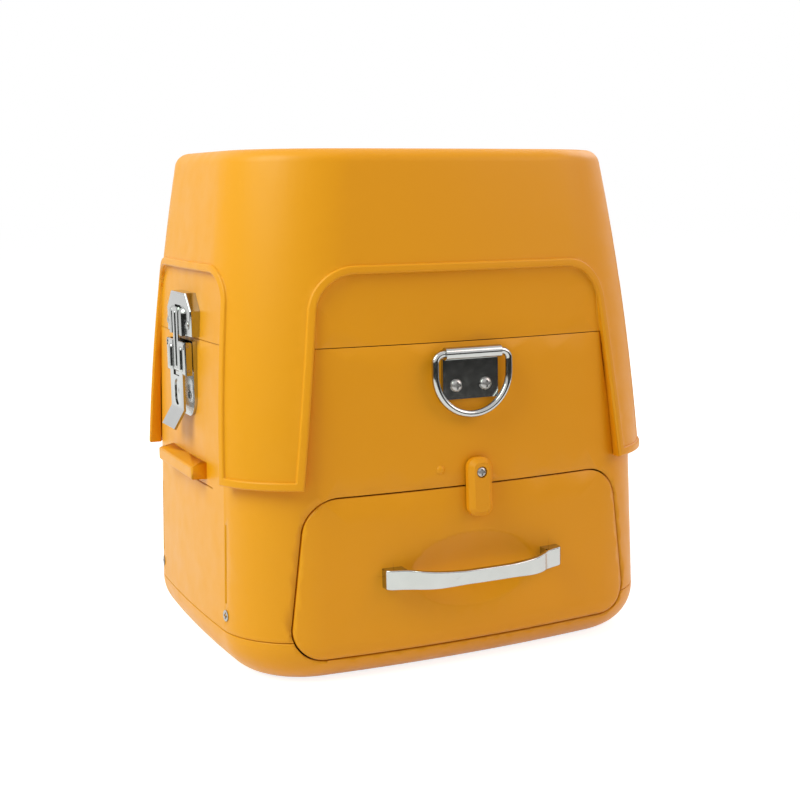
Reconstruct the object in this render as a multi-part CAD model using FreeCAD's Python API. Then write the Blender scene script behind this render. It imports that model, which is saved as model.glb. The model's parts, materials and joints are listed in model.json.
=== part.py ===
"""Moulded instrument carrying case: a lift-off hood over a body with a drawer.

Millimetres. The origin is under the middle of the base, +Z is up and -Y is the drawer side.
"""
import FreeCAD, Part
import math
import os
from FreeCAD import Vector

# Body: sizes across the middle of its faces at the parting line
CASE_HEIGHT = 358.0
PARTING_Z = 228.0
BODY_WIDTH = 315.0
BODY_DEPTH = 271.0
BODY_CORNER_R = 55.0
BODY_DRAFT = 1.76
FRONT_CROWN_R = 950.0
SIDE_CROWN_R = 1400.0
BOTTOM_EDGE_R = 30.0
WALL = 4.0
SEAM_Z = 32.0
SEAM_GROOVE = 0.8

# Hood: its flare is how far a leg's foot stands outside the parting line's outline
HOOD_CORNER_R = 76.0
LEG_FOOT_Z = 136.5
LEG_FLARE = 12.5
TAPER_AT_FOOT = 3.4
TAPER_AT_TOP = 9.2
TOP_EDGE_R = 11.0
PANEL_DRAFT = 4.0
HOOD_WALL = 5.0
LEG_GAP = 0.8
LID_REVEAL = 0.6
RIM_HEIGHT = 6.0
HOOD_LEVELS = 6
FLARE_START = 20.0

# Arched windows in the hood, set in from the body's faces, and the bead along their edges
WINDOW_RISE = 48.0
FRONT_WINDOW_TOP_INSET = 53.5
FRONT_WINDOW_FOOT_INSET = 36.5
FRONT_WINDOW_R = 27.0
SIDE_WINDOW_TOP_INSET = 58.0
SIDE_WINDOW_FOOT_INSET = 44.0
SIDE_WINDOW_R = 22.0
BEAD_WIDTH = 6.0
BEAD_HEIGHT = 1.8
BEAD_EDGE_R = 1.6
BEAD_INSET = 0.2

# Seal in the hood's rim
GASKET_HEIGHT = 1.8
GASKET_WIDTH = 2.0
GASKET_INSET = 1.0

# Grip ledge, with a slot under it, and grooves in the body's sides
GRIP_LENGTH = 88.0
GRIP_REACH = 10.5
GRIP_LOW_Z = 131.5
GRIP_HEIGHT = 12.5
GRIP_EDGE_R = 1.5
SLOT_DROP = 4.7
SLOT_LENGTH = 114.0
SLOT_HEIGHT = 1.2
GROOVE_INSET = 53.5
GROOVE_WIDTH = 3.0
GROOVE_RISE = 20.0
GROOVE_LENGTH = 55.0
GROOVE_DEPTH = 1.6

# Base pan's tabs, which pass the seam, and the screws that hold the body to them
TAB_WIDTH = 24.0
TAB_BELOW_SEAM = 8.0
TAB_ABOVE_SEAM = 24.0
TAB_WALL = 4.0
BASE_SCREW_RISE = 11.4
BASE_SCREW_R = 2.0
BASE_SCREW_HEAD_R = 3.9
BASE_SCREW_LENGTH = 9.0

# Drawer: insets are from the body's faces at the parting line
DRAWER_LOW_Z = 17.7
DRAWER_HEIGHT = 111.3
DRAWER_LOW_INSET = 24.5
DRAWER_TOP_INSET = 38.2
DRAWER_LOW_R = 22.0
DRAWER_TOP_R = 26.0
DRAWER_GAP = 1.2
DRAWER_WALL = 5.0
TRAY_SIDE_INSET = 6.8
TRAY_FRONT_INSET = 10.5
TRAY_BACK_INSET = 27.5
TRAY_RISE = 2.6
TRAY_DEPTH = 91.7
TRAY_WALL = 2.5
TRAY_CORNER_R = 8.0
PAD_INSET = 20.5
PAD_WIDTH = 18.0
PAD_HEIGHT = 70.0
TRAY_SCREW_PITCH = 44.0
TRAY_SCREW_R = 1.6
TRAY_SCREW_HEAD_R = 3.2
TRAY_SCREW_HEAD = 1.6
TRAY_SCREW_LENGTH = 7.0

# Finger scoop behind the pull
SCOOP_WIDTH = 104.0
SCOOP_HEIGHT = 54.0
SCOOP_DEPTH = 9.0
SCOOP_WALL = 3.0

# Runners under the tray
RUNNER_INSET = 40.0
RUNNER_WIDTH = 20.0
RUNNER_LIP_WALL = 3.0
RUNNER_LIP_HEIGHT = 10.0
RUNNER_GAP = 0.3
RUNNER_SCREW_INSET = 15.5
RUNNER_SCREW_R = 1.6
RUNNER_SCREW_HEAD_R = 3.2
RUNNER_SCREW_HEAD = 1.6
RUNNER_SCREW_SINK = 4.0
RUNNER_SCREW_BITE = 2.5

# Pull handle
PULL_RISE = 53.3
PULL_LENGTH = 136.0
PULL_END_REACH = 12.0
PULL_REACH = 25.0
PULL_RAMP = 36.0
PULL_WALL = 4.0
PULL_FOOT = 14.0
PULL_END_HEIGHT = 13.4
PULL_MIDDLE_HEIGHT = 9.6
PULL_EDGE_R = 0.8
PULL_CORNER_R = 6.0
PULL_SCREW_R = 2.0
PULL_SCREW_HEAD_R = 4.0
PULL_SCREW_HEAD = 2.4
PULL_SCREW_BITE = 8.0
PULL_SCREW_GAP = 0.25

# Turn button that holds the drawer shut, and its stop
BUTTON_X = 4.0
BUTTON_RISE = 9.0
BUTTON_WIDTH = 18.0
BUTTON_ABOVE = 10.0
BUTTON_BELOW = 31.0
BUTTON_WALL = 7.6
BUTTON_BEVEL = 3.4
BUTTON_END_R = 7.0
BUTTON_SCREW_R = 2.0
BUTTON_SCREW_HEAD_R = 3.8
BUTTON_SCREW_HEAD = 2.0
BUTTON_SCREW_TAIL = 10.0
WASHER_R = 6.0
WASHER_WALL = 1.2
NUT_ACROSS = 7.0
NUT_WALL = 3.2
NUT_GAP = 0.2
STOP_OFFSET_X = -27.2
STOP_OFFSET_Z = 3.1
STOP_R = 3.2
STOP_HEIGHT = 1.8

# Deck that the instrument stands on, above the turn button's nut
DECK_RISE = 10.0
DECK_WALL = 4.0
DECK_LEDGE = 10.0
DECK_LEDGE_WALL = 4.0
DECK_GAP = 0.3
DECK_SCREW_INSET = 85.5
DECK_SCREW_R = 1.6
DECK_SCREW_HEAD_R = 3.2
DECK_SCREW_LENGTH = 7.0

# Ring plates and hanging rings on the front and back
RING_BELOW_PARTING = 7.0
RING_WIRE_R = 2.5
RING_WIDTH = 61.0
RING_DROP = 42.3
RING_SHOULDER_R = 6.0
RING_GAP = 0.5
PLATE_WIDTH = 42.0
PLATE_HEIGHT = 32.0
PLATE_WALL = 2.0
ROLL_WALL = 1.8
PLATE_SCREW_PITCH = 22.4
PLATE_SCREW_DROP = 22.4
PLATE_SCREW_R = 2.0
PLATE_SCREW_HEAD_R = 4.3
PLATE_SCREW_HEAD = 2.6
PLATE_SCREW_TAIL = 9.0

# Draw latches on the sides: plates, set apart from the parting line
LATCH_PLATE_WALL = 1.5
KEEPER_ABOVE_PARTING = 2.0
KEEPER_WIDTH = 60.0
KEEPER_HEIGHT = 30.0
KEEPER_CORNER = 12.0
KEEPER_OUT = 4.6
KEEPER_EDGE_R = 1.4
BASE_BELOW_PARTING = 1.5
BASE_WIDTH = 50.0
BASE_HEIGHT = 54.5
BASE_CORNER_R = 15.0
CHEEK_WALL = 1.6
CHEEK_GAP = 0.4
CHEEK_HEIGHT = 14.0
EAR_R = 2.4

# Lever: places are measured down from its pivot and out from the base plate
PIVOT_DROP = 3.2
PIVOT_R = 1.3
PIN_END = 1.0
LEVER_CLEAR = 0.5
LEVER_HEAD_R = 3.2
LEVER_FRONT_OUT = 2.0
LEVER_WIDTH = 48.0
LEVER_WALL = 1.6
LEVER_EDGE_R = 1.2
LEVER_SKIRT = 21.0
LEVER_BEND = 47.0
LEVER_TIP_DROP = 60.0
LEVER_TIP_OUT = 7.5
LEVER_TIP_WIDTH = 33.0
LEVER_RIB_Y = 13.0
LEVER_RIB_R = 4.0
LEVER_RIB_OUT = 1.6
LEVER_RIB_LENGTH = 17.0
LEVER_SLOT = 23.0
LEVER_WINDOW_DROP = 25.5
LEVER_WINDOW_WIDTH = 12.0
LEVER_WINDOW_HEIGHT = 19.0

# Claw and the parts of the keeper that it works with
CLAW_DROP = 18.0
CLAW_CLEAR = 0.4
CLAW_PIN_R = 1.2
CLAW_WIDTH = 13.0
CLAW_WALL = 1.8
CLAW_EYE_R = 2.6
CLAW_STEP = 0.2
CLAW_NOSE = 4.6
CLAW_NOSE_WALL = 2.2
CLAW_GAP = 0.4
CLAW_SIDE_GAP = 0.8
CLAW_RIB_R = 2.2
CLAW_RIB_OUT = 0.9
CLAW_EDGE_R = 0.8
CATCH_RISE = 14.0
CATCH_WALL = 3.0
CATCH_GAP = 1.2
CHANNEL_GAP = 1.2
HUMP_R = 5.2
HUMP_OUT = 2.9
HUMP_TOP_INSET = 9.5

# Rivets of the latches
RIVET_R = 1.6
RIVET_HEAD_R = 3.0
RIVET_HEAD = 1.3
RIVET_TAIL = 5.0
KEEPER_RIVET_INSET = 5.2
KEEPER_RIVET_RISE = 8.0
BASE_RIVET_RISE = 15.0
BASE_RIVET_Y = 12.0

# Fits
SEAT_GAP = 0.05
RUN_GAP = 0.06

# Heights and places that follow from the sizes above
REACH = 2.0 * (CASE_HEIGHT + BODY_WIDTH + BODY_DEPTH)
LID_BASE_Z = PARTING_Z + LID_REVEAL
LEG_INNER = HOOD_WALL + LEG_GAP
FLARE_LOW_Z = LEG_FOOT_Z - FLARE_START
WINDOW_TOP_Z = PARTING_Z + WINDOW_RISE
GRIP_TOP_Z = GRIP_LOW_Z + GRIP_HEIGHT
GROOVE_Y = BODY_DEPTH / 2 - GROOVE_INSET
BASE_SCREW_Z = SEAM_Z + BASE_SCREW_RISE
DRAWER_TOP_Z = DRAWER_LOW_Z + DRAWER_HEIGHT
TRAY_HALF = BODY_WIDTH / 2 - DRAWER_TOP_INSET - TRAY_SIDE_INSET
TRAY_FRONT_Y = TRAY_FRONT_INSET - BODY_DEPTH / 2
TRAY_BACK_Y = BODY_DEPTH / 2 - TRAY_BACK_INSET
TRAY_FLOOR_Z = DRAWER_LOW_Z + TRAY_RISE
TRAY_TOP_Z = TRAY_FLOOR_Z + TRAY_DEPTH
PAD_X = TRAY_HALF - PAD_INSET
PULL_Z = DRAWER_LOW_Z + PULL_RISE
BUTTON_Z = DRAWER_TOP_Z + BUTTON_RISE
STOP_X = BUTTON_X + STOP_OFFSET_X
STOP_Z = BUTTON_Z + STOP_OFFSET_Z
DECK_Z = BUTTON_Z + DECK_RISE
DECK_SCREW_Y = BODY_DEPTH / 2 - DECK_SCREW_INSET
RING_AXIS_Z = PARTING_Z - RING_BELOW_PARTING
PLATE_LOW_Z = RING_AXIS_Z - PLATE_HEIGHT
PLATE_SCREW_Z = RING_AXIS_Z - PLATE_SCREW_DROP
KEEPER_LOW_Z = PARTING_Z + KEEPER_ABOVE_PARTING
KEEPER_TOP_Z = KEEPER_LOW_Z + KEEPER_HEIGHT
BASE_TOP_Z = PARTING_Z - BASE_BELOW_PARTING
BASE_LOW_Z = BASE_TOP_Z - BASE_HEIGHT
LEVER_AXIS_Z = BASE_TOP_Z - PIVOT_DROP
CLAW_AXIS_Z = LEVER_AXIS_Z - CLAW_DROP
CATCH_TOP_Z = KEEPER_LOW_Z + CATCH_RISE + CATCH_WALL


def tan_deg(angle):
    return math.tan(math.radians(angle))


def box(x0, x1, y0, y1, z0, z1):
    return Part.makeBox(x1 - x0, y1 - y0, z1 - z0, Vector(x0, y0, z0))


def slab(z0, z1):
    return box(-REACH, REACH, -REACH, REACH, z0, z1)


def rod(start, end, radius):
    """Round bar between two points."""
    path = end - start
    return Part.makeCylinder(radius, path.Length, start, path)


def join(shapes):
    """One solid from shapes that run into each other."""
    return shapes[0].multiFuse(shapes[1:]).removeSplitter()


def turned(shape):
    """Copy of a shape on the opposite side of the case."""
    copy = shape.copy()
    copy.rotate(Vector(0, 0, 0), Vector(0, 0, 1), 180)
    return copy


def shifted_corners(corners, distance):
    """Corners of a convex outline, listed counter-clockwise, with each side moved outwards."""
    moved = []
    count = len(corners)
    for i in range(count):
        before = Vector(*corners[i - 1], 0)
        here = Vector(*corners[i], 0)
        after = Vector(*corners[(i + 1) % count], 0)
        side_in = (here - before).normalize()
        side_out = (after - here).normalize()
        out_in = Vector(side_in.y, -side_in.x, 0)
        out_out = Vector(side_out.y, -side_out.x, 0)
        corner = here + (out_in + out_out) * (distance / (1.0 + out_in.dot(out_out)))
        moved.append((corner.x, corner.y))
    return moved


def rounded_wire(corners, radii, place):
    """Closed wire through corners, each rounded by its radius; place puts a corner in space."""
    count = len(corners)
    starts = []
    ends = []
    edges = []
    for i in range(count):
        here = Vector(*corners[i], 0)
        to_before = (Vector(*corners[i - 1], 0) - here).normalize()
        to_after = (Vector(*corners[(i + 1) % count], 0) - here).normalize()
        half_angle = to_before.getAngle(to_after) / 2.0
        setback = radii[i] / math.tan(half_angle)
        starts.append(here + to_before * setback)
        ends.append(here + to_after * setback)
        if radii[i] > 0:
            inward = (to_before + to_after).normalize()
            middle = here + inward * (radii[i] / math.sin(half_angle) - radii[i])
            arc_points = [place(p.x, p.y) for p in (starts[i], middle, ends[i])]
            edges.append(Part.Arc(*arc_points).toShape())
    for i in range(count):
        a = ends[i]
        b = starts[(i + 1) % count]
        if (b - a).Length > 1e-6:
            edges.append(Part.makeLine(place(a.x, a.y), place(b.x, b.y)))
    return Part.Wire(Part.__sortEdges__(edges))


def on_front(x, z):
    return Vector(x, -REACH, z)


def on_side(y, z):
    return Vector(-REACH, y, z)


def front_prism(corners, radii):
    """Outline seen from the front, drawn through the whole case."""
    face = Part.Face(rounded_wire(corners, radii, on_front))
    return face.extrude(Vector(0, 2 * REACH, 0))


def side_prism(corners, radii):
    """Outline seen from the side, drawn through the whole case."""
    face = Part.Face(rounded_wire(corners, radii, on_side))
    return face.extrude(Vector(2 * REACH, 0, 0))


def section(half_x, half_y, corner_r, z):
    """Closed wire at height z: crowned sides that run smoothly into round corners."""
    cx = half_x - corner_r
    cy = half_y - corner_r
    for _ in range(8):
        cx = half_x - SIDE_CROWN_R + math.sqrt((SIDE_CROWN_R - corner_r) ** 2 - cy ** 2)
        cy = half_y - FRONT_CROWN_R + math.sqrt((FRONT_CROWN_R - corner_r) ** 2 - cx ** 2)
    centre = Vector(cx, cy, 0)
    to_front = Vector(cx, cy - half_y + FRONT_CROWN_R, 0).normalize()
    to_side = Vector(cx - half_x + SIDE_CROWN_R, cy, 0).normalize()
    front = centre + to_front * corner_r
    side = centre + to_side * corner_r
    middle = centre + (to_front + to_side).normalize() * corner_r

    def at(point, sx, sy):
        return Vector(point.x * sx, point.y * sy, z)

    stations = [
        (at(front, -1, -1), Vector(0, -half_y, z), at(front, 1, -1)),
        (at(front, 1, -1), at(middle, 1, -1), at(side, 1, -1)),
        (at(side, 1, -1), Vector(half_x, 0, z), at(side, 1, 1)),
        (at(side, 1, 1), at(middle, 1, 1), at(front, 1, 1)),
        (at(front, 1, 1), Vector(0, half_y, z), at(front, -1, 1)),
        (at(front, -1, 1), at(middle, -1, 1), at(side, -1, 1)),
        (at(side, -1, 1), Vector(-half_x, 0, z), at(side, -1, -1)),
        (at(side, -1, -1), at(middle, -1, -1), at(front, -1, -1)),
    ]
    return Part.Wire([Part.Arc(*points).toShape() for points in stations])


def body_spread(z):
    """How far the drafted wall stands outside the parting line's outline at height z."""
    if z <= PARTING_Z:
        return (PARTING_Z - z) * tan_deg(BODY_DRAFT)
    return (PARTING_Z - z) * tan_deg(PANEL_DRAFT)


def hood_spread(z):
    """The same for the hood, whose taper follows an arc from the feet to the top."""
    low = math.sin(math.radians(TAPER_AT_FOOT))
    high = math.sin(math.radians(TAPER_AT_TOP))
    arc_r = (CASE_HEIGHT - LEG_FOOT_Z) / (high - low)
    here = math.asin(low + (z - LEG_FOOT_Z) / arc_r)
    return LEG_FLARE - arc_r * (math.cos(math.radians(TAPER_AT_FOOT)) - math.cos(here))


def core(z0, z1, grow=0.0):
    """Solid of the drafted body between two heights, grown outwards."""
    heights = [z0, z1]
    if z0 < PARTING_Z < z1:
        heights.insert(1, PARTING_Z)
    wires = []
    for z in heights:
        out = body_spread(z) + grow
        wires.append(section(BODY_WIDTH / 2 + out, BODY_DEPTH / 2 + out, BODY_CORNER_R + out, z))
    return Part.makeLoft(wires, True, True)


def hood(grow=0.0):
    """Solid of the tapered hood, grown outwards, from below its feet to its top."""
    top_z = CASE_HEIGHT + min(grow, 0.0)
    wires = []
    for i in range(HOOD_LEVELS):
        z = FLARE_LOW_Z + (top_z - FLARE_LOW_Z) * i / (HOOD_LEVELS - 1)
        out = hood_spread(z) + grow
        wires.append(section(BODY_WIDTH / 2 + out, BODY_DEPTH / 2 + out, HOOD_CORNER_R + grow, z))
    return Part.makeLoft(wires, True, False)


def round_rim(shape, z, radius):
    """Round the edge loop that lies at height z."""
    rim = [e for e in shape.Edges if all(abs(v.Z - z) < 1e-4 for v in e.Vertexes)]
    return shape.makeFillet(radius, rim)


def window_corners(half, top_inset, foot_inset):
    """Corners of a window whose sides spread evenly from its top to below the legs' feet."""
    spread = (top_inset - foot_inset) / (WINDOW_TOP_Z - LEG_FOOT_Z)
    top = half - top_inset
    low = top + spread * (WINDOW_TOP_Z - FLARE_LOW_Z)
    return [(-low, FLARE_LOW_Z), (low, FLARE_LOW_Z), (top, WINDOW_TOP_Z), (-top, WINDOW_TOP_Z)]


def windows(grow=0.0):
    """Both pairs of arched windows as prisms through the case, with their outlines grown."""
    front = window_corners(BODY_WIDTH / 2, FRONT_WINDOW_TOP_INSET, FRONT_WINDOW_FOOT_INSET)
    side = window_corners(BODY_DEPTH / 2, SIDE_WINDOW_TOP_INSET, SIDE_WINDOW_FOOT_INSET)
    front_r = FRONT_WINDOW_R + grow
    side_r = SIDE_WINDOW_R + grow
    front = front_prism(shifted_corners(front, grow), [0, 0, front_r, front_r])
    side = side_prism(shifted_corners(side, grow), [0, 0, side_r, side_r])
    return front.fuse(side)


def tub(grow):
    """Solid of the body with its round bottom edge, grown outwards (inwards if negative)."""
    solid = core(-grow, PARTING_Z, grow)
    return round_rim(solid, -grow, BOTTOM_EDGE_R + grow)


def drawer_prism(gap):
    """Drawer's outline drawn through the front wall, smaller by a gap all round."""
    low = BODY_WIDTH / 2 - DRAWER_LOW_INSET
    top = BODY_WIDTH / 2 - DRAWER_TOP_INSET
    corners = [(-low, DRAWER_LOW_Z), (low, DRAWER_LOW_Z), (top, DRAWER_TOP_Z), (-top, DRAWER_TOP_Z)]
    low_r = DRAWER_LOW_R - gap
    top_r = DRAWER_TOP_R - gap
    prism = front_prism(shifted_corners(corners, -gap), [low_r, low_r, top_r, top_r])
    return prism.common(box(-REACH, REACH, -REACH, TRAY_FRONT_Y + WALL * 2, 0, CASE_HEIGHT))


def front_y(z):
    """Place of the body's front face at its middle."""
    return -(BODY_DEPTH / 2 + body_spread(z))


def front_face_y(x, z):
    """Place of the body's crowned front face at a distance from its middle."""
    return front_y(z) + FRONT_CROWN_R - math.sqrt(FRONT_CROWN_R ** 2 - x ** 2)


def side_x(z):
    """Place of the body's left face at its middle."""
    return -(BODY_WIDTH / 2 + body_spread(z))


def lid_rim_inside(inset):
    """Outline that the lid's rim and the body's rim share, as a solid about the parting line."""
    low = PARTING_Z - RIM_HEIGHT
    high = LID_BASE_Z + RIM_HEIGHT
    return core(low, high, -inset).common(hood(-LEG_INNER - inset)).common(slab(low, high))


def lid_gasket():
    outer = lid_rim_inside(GASKET_INSET)
    inner = lid_rim_inside(GASKET_INSET + GASKET_WIDTH)
    return outer.cut(inner).common(slab(PARTING_Z, PARTING_Z + GASKET_HEIGHT))


def edge_bead():
    """Raised bead with round edges along the windows and the legs' feet, solid to the middle."""
    band = windows(BEAD_WIDTH).fuse(slab(LEG_FOOT_Z, LEG_FOOT_Z + BEAD_WIDTH))
    raised = hood(BEAD_HEIGHT).common(slab(LEG_FOOT_Z, WINDOW_TOP_Z + BEAD_WIDTH))
    bead = raised.common(band).cut(windows(BEAD_INSET))
    below = hood(BEAD_HEIGHT - SEAT_GAP)

    def on_surface(edge):
        low, high = edge.ParameterRange
        return not below.isInside(edge.valueAt((low + high) / 2), 1e-4, True)

    return bead.makeFillet(BEAD_EDGE_R, [e for e in bead.Edges if on_surface(e)])


def hood_shell(gasket):
    """Hood with its windows, legs, bead, hollow and rim."""
    skin = hood().common(slab(LEG_FOOT_Z, CASE_HEIGHT))
    skin = round_rim(skin, CASE_HEIGHT, TOP_EDGE_R)
    panel = core(LID_BASE_Z, CASE_HEIGHT)
    skin = skin.cut(windows().cut(panel)).fuse(edge_bead())
    leg_hollow = core(FLARE_LOW_Z, LID_BASE_Z, LEG_GAP).common(hood(-HOOD_WALL))
    rim_hollow = lid_rim_inside(WALL).common(slab(LID_BASE_Z, CASE_HEIGHT))
    top_z = CASE_HEIGHT - HOOD_WALL
    upper = round_rim(hood(-HOOD_WALL), top_z, TOP_EDGE_R - HOOD_WALL)
    upper = upper.common(core(LID_BASE_Z + RIM_HEIGHT, CASE_HEIGHT, -WALL))
    return skin.cut(leg_hollow).cut(rim_hollow).cut(upper).cut(gasket).removeSplitter()


def grip_ledge():
    """Ledge on the left wall, to lift the body by."""
    low_x = side_x(GRIP_LOW_Z) + WALL
    reach_x = side_x(GRIP_TOP_Z) - GRIP_REACH
    slope = GRIP_EDGE_R * 2
    profile = [(low_x, GRIP_LOW_Z), (reach_x, GRIP_LOW_Z + GRIP_EDGE_R / 2),
               (reach_x, GRIP_TOP_Z - slope), (low_x, GRIP_TOP_Z)]
    corners = [Vector(x, -GRIP_LENGTH / 2, z) for x, z in profile]
    solid = Part.Face(Part.makePolygon(corners + corners[:1])).extrude(Vector(0, GRIP_LENGTH, 0))
    outer = [e for e in solid.Edges if all(abs(v.X - reach_x) < 1e-4 for v in e.Vertexes)]
    solid = solid.makeFillet(GRIP_EDGE_R, outer)
    return solid.cut(core(GRIP_LOW_Z - WALL, GRIP_TOP_Z + WALL))


def wall_skin(depth):
    """Outer layer of the body's straight wall."""
    return core(BOTTOM_EDGE_R, PARTING_Z, SEAT_GAP).cut(core(BOTTOM_EDGE_R, PARTING_Z, -depth))


def side_marks():
    """Slots and grooves in the body's sides, as solids to cut away."""
    marks = []
    slot_z = GRIP_LOW_Z - SLOT_DROP
    groove_z = SEAM_Z + GROOVE_RISE
    for side in (-1, 1):
        x0, x1 = sorted((side * BODY_WIDTH / 4, side * REACH))
        marks.append(box(x0, x1, -SLOT_LENGTH / 2, SLOT_LENGTH / 2, slot_z, slot_z + SLOT_HEIGHT))
        for y in (-GROOVE_Y, GROOVE_Y):
            half = GROOVE_WIDTH / 2
            marks.append(box(x0, x1, y - half, y + half, groove_z, groove_z + GROOVE_LENGTH))
    return wall_skin(GROOVE_DEPTH).common(Part.makeCompound(marks))


def base_tabs():
    """Tabs that stand up from the base pan inside the body's wall."""
    low_z = SEAM_Z - TAB_BELOW_SEAM
    top_z = SEAM_Z + TAB_ABOVE_SEAM
    back = WALL + TAB_WALL
    ring = ring_at(low_z, SEAM_Z, WALL / 2, back).fuse(ring_at(SEAM_Z, top_z, WALL + SEAT_GAP, back))
    tabs = []
    for x0, x1 in ((-REACH, -BODY_WIDTH / 4), (BODY_WIDTH / 4, REACH)):
        for y in (-GROOVE_Y, GROOVE_Y):
            tabs.append(box(x0, x1, y - TAB_WIDTH / 2, y + TAB_WIDTH / 2, low_z, top_z))
    return ring.common(Part.makeCompound(tabs))


def side_reach(y, z):
    """Half width of the body at a place along its side."""
    line = Part.makeLine(Vector(0, y, z), Vector(REACH, y, z))
    return line.common(core(z - 1, z + 1)).BoundBox.XMax


def base_screws(grow=0.0):
    """Flush screws through the body's sides into the pan's tabs."""
    face = side_reach(GROOVE_Y, BASE_SCREW_Z) - SEAT_GAP
    head = BASE_SCREW_HEAD_R - BASE_SCREW_R
    screws = []
    for side in (-1, 1):
        for y in (-GROOVE_Y, GROOVE_Y):
            start = Vector(side * (face - BASE_SCREW_LENGTH), y, BASE_SCREW_Z)
            end = Vector(side * face, y, BASE_SCREW_Z)
            shank = rod(start, end, BASE_SCREW_R + grow)
            cone = Part.makeCone(BASE_SCREW_HEAD_R + grow, BASE_SCREW_R + grow, head,
                                 end, Vector(-side, 0, 0))
            screws.append(shank.fuse(cone).removeSplitter())
    return screws


def ring_at(z0, z1, outer_inset, inner_inset):
    """Ring inside the body's wall between two heights."""
    return core(z0, z1, -outer_inset).cut(core(z0, z1, -inner_inset))


def stop_bump():
    """Small round stop on the front for the turn button."""
    ball_r = (STOP_R ** 2 + STOP_HEIGHT ** 2) / (2 * STOP_HEIGHT)
    y = front_face_y(STOP_X, STOP_Z) - STOP_HEIGHT + ball_r
    ball = Part.makeSphere(ball_r, Vector(STOP_X, y, STOP_Z))
    return ball.common(box(-REACH, REACH, -REACH, y - ball_r + WALL, 0, CASE_HEIGHT))


def body_tub():
    """Body and base pan in one: walls, leg rebates, drawer opening and side marks."""
    solid = tub(0)
    rebate = slab(LEG_FOOT_Z - LEG_GAP, PARTING_Z).cut(windows(-LEG_GAP)).cut(hood(-LEG_INNER))
    solid = solid.cut(rebate)
    hollow = tub(-WALL).cut(slab(FLARE_LOW_Z, PARTING_Z).cut(hood(-LEG_INNER - WALL)))
    return solid.cut(hollow).cut(drawer_prism(0)).cut(side_marks())


def split_body(whole):
    """Body shell above the seam and base pan below it, with a groove along the seam."""
    half = SEAM_GROOVE / 2
    low = SEAM_Z - half
    high = SEAM_Z + half
    groove = core(low, high, SEAT_GAP).cut(core(low, high, -SEAM_GROOVE))
    whole = whole.cut(groove)
    return whole.common(slab(SEAM_Z, CASE_HEIGHT)), whole.common(slab(-WALL, SEAM_Z))


def instrument_deck():
    inset = WALL + DECK_GAP
    plate = core(DECK_Z, DECK_Z + DECK_WALL, -inset)
    return plate.common(hood(-LEG_INNER - inset)).common(slab(DECK_Z, DECK_Z + DECK_WALL))


def deck_screws(grow=0.0):
    """Countersunk screws through the deck into its ledge."""
    x = -side_x(DECK_Z) - WALL - DECK_LEDGE / 2
    top = DECK_Z + DECK_WALL
    head = DECK_SCREW_HEAD_R - DECK_SCREW_R
    screws = []
    for sx in (-1, 1):
        for sy in (-1, 1):
            end = Vector(sx * x, sy * DECK_SCREW_Y, top)
            shank = rod(end - Vector(0, 0, DECK_SCREW_LENGTH), end, DECK_SCREW_R + grow)
            cone = Part.makeCone(DECK_SCREW_HEAD_R + grow, DECK_SCREW_R + grow, head,
                                 end, Vector(0, 0, -1))
            screws.append(shank.fuse(cone).removeSplitter())
    return screws


def scoop(grow):
    """Flattened ball whose cap dishes the drawer's front behind the pull."""
    half = SCOOP_WIDTH / 2
    ball_r = (half ** 2 + SCOOP_DEPTH ** 2) / (2 * SCOOP_DEPTH)
    ball = Part.makeSphere(ball_r + grow)
    squeeze = FreeCAD.Matrix()
    squeeze.scale(1.0, 1.0, SCOOP_HEIGHT / SCOOP_WIDTH)
    ball = ball.transformGeometry(squeeze)
    ball.translate(Vector(0, front_y(PULL_Z) + SCOOP_DEPTH - ball_r, PULL_Z))
    return ball


def drawer_front():
    """Crowned front panel, with a dished scoop and two pads for the tray."""
    skin = tub(0)
    inner = tub(-DRAWER_WALL)
    prism = drawer_prism(DRAWER_GAP)
    panel = skin.cut(inner).common(prism)
    backing = scoop(SCOOP_WALL).common(inner).common(prism)
    pads = [panel, backing]
    for x in (-PAD_X, PAD_X):
        pad = box(x - PAD_WIDTH / 2, x + PAD_WIDTH / 2, -REACH, TRAY_FRONT_Y,
                  PULL_Z - PAD_HEIGHT / 2, PULL_Z + PAD_HEIGHT / 2)
        pads.append(pad.common(inner))
    return join(pads).cut(scoop(0))


def drawer_tray():
    """Open tray behind the drawer's front."""
    half = TRAY_HALF
    outer = box(-half, half, TRAY_FRONT_Y, TRAY_BACK_Y, TRAY_FLOOR_Z, TRAY_TOP_Z)
    inner = box(-half + TRAY_WALL, half - TRAY_WALL, TRAY_FRONT_Y + TRAY_WALL, TRAY_BACK_Y - TRAY_WALL,
                TRAY_FLOOR_Z + TRAY_WALL, TRAY_TOP_Z + TRAY_WALL)

    def soften(solid, radius):
        upright = [e for e in solid.Edges if abs(e.Vertexes[0].Z - e.Vertexes[1].Z) > 1.0]
        return solid.makeFillet(radius, upright)

    return soften(outer, TRAY_CORNER_R).cut(soften(inner, TRAY_CORNER_R - TRAY_WALL))


def tray_screws(grow=0.0):
    """Screws from inside the tray into the front's pads."""
    inside = TRAY_FRONT_Y + TRAY_WALL
    screws = []
    for x in (-PAD_X, PAD_X):
        for z in (PULL_Z - TRAY_SCREW_PITCH / 2, PULL_Z + TRAY_SCREW_PITCH / 2):
            seat = Vector(x, inside, z)
            shank = rod(seat - Vector(0, TRAY_SCREW_LENGTH, 0), seat, TRAY_SCREW_R + grow)
            head = Part.makeCylinder(TRAY_SCREW_HEAD_R, TRAY_SCREW_HEAD, seat, Vector(0, 1, 0))
            screws.append(shank.fuse(head).removeSplitter())
    return screws


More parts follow.
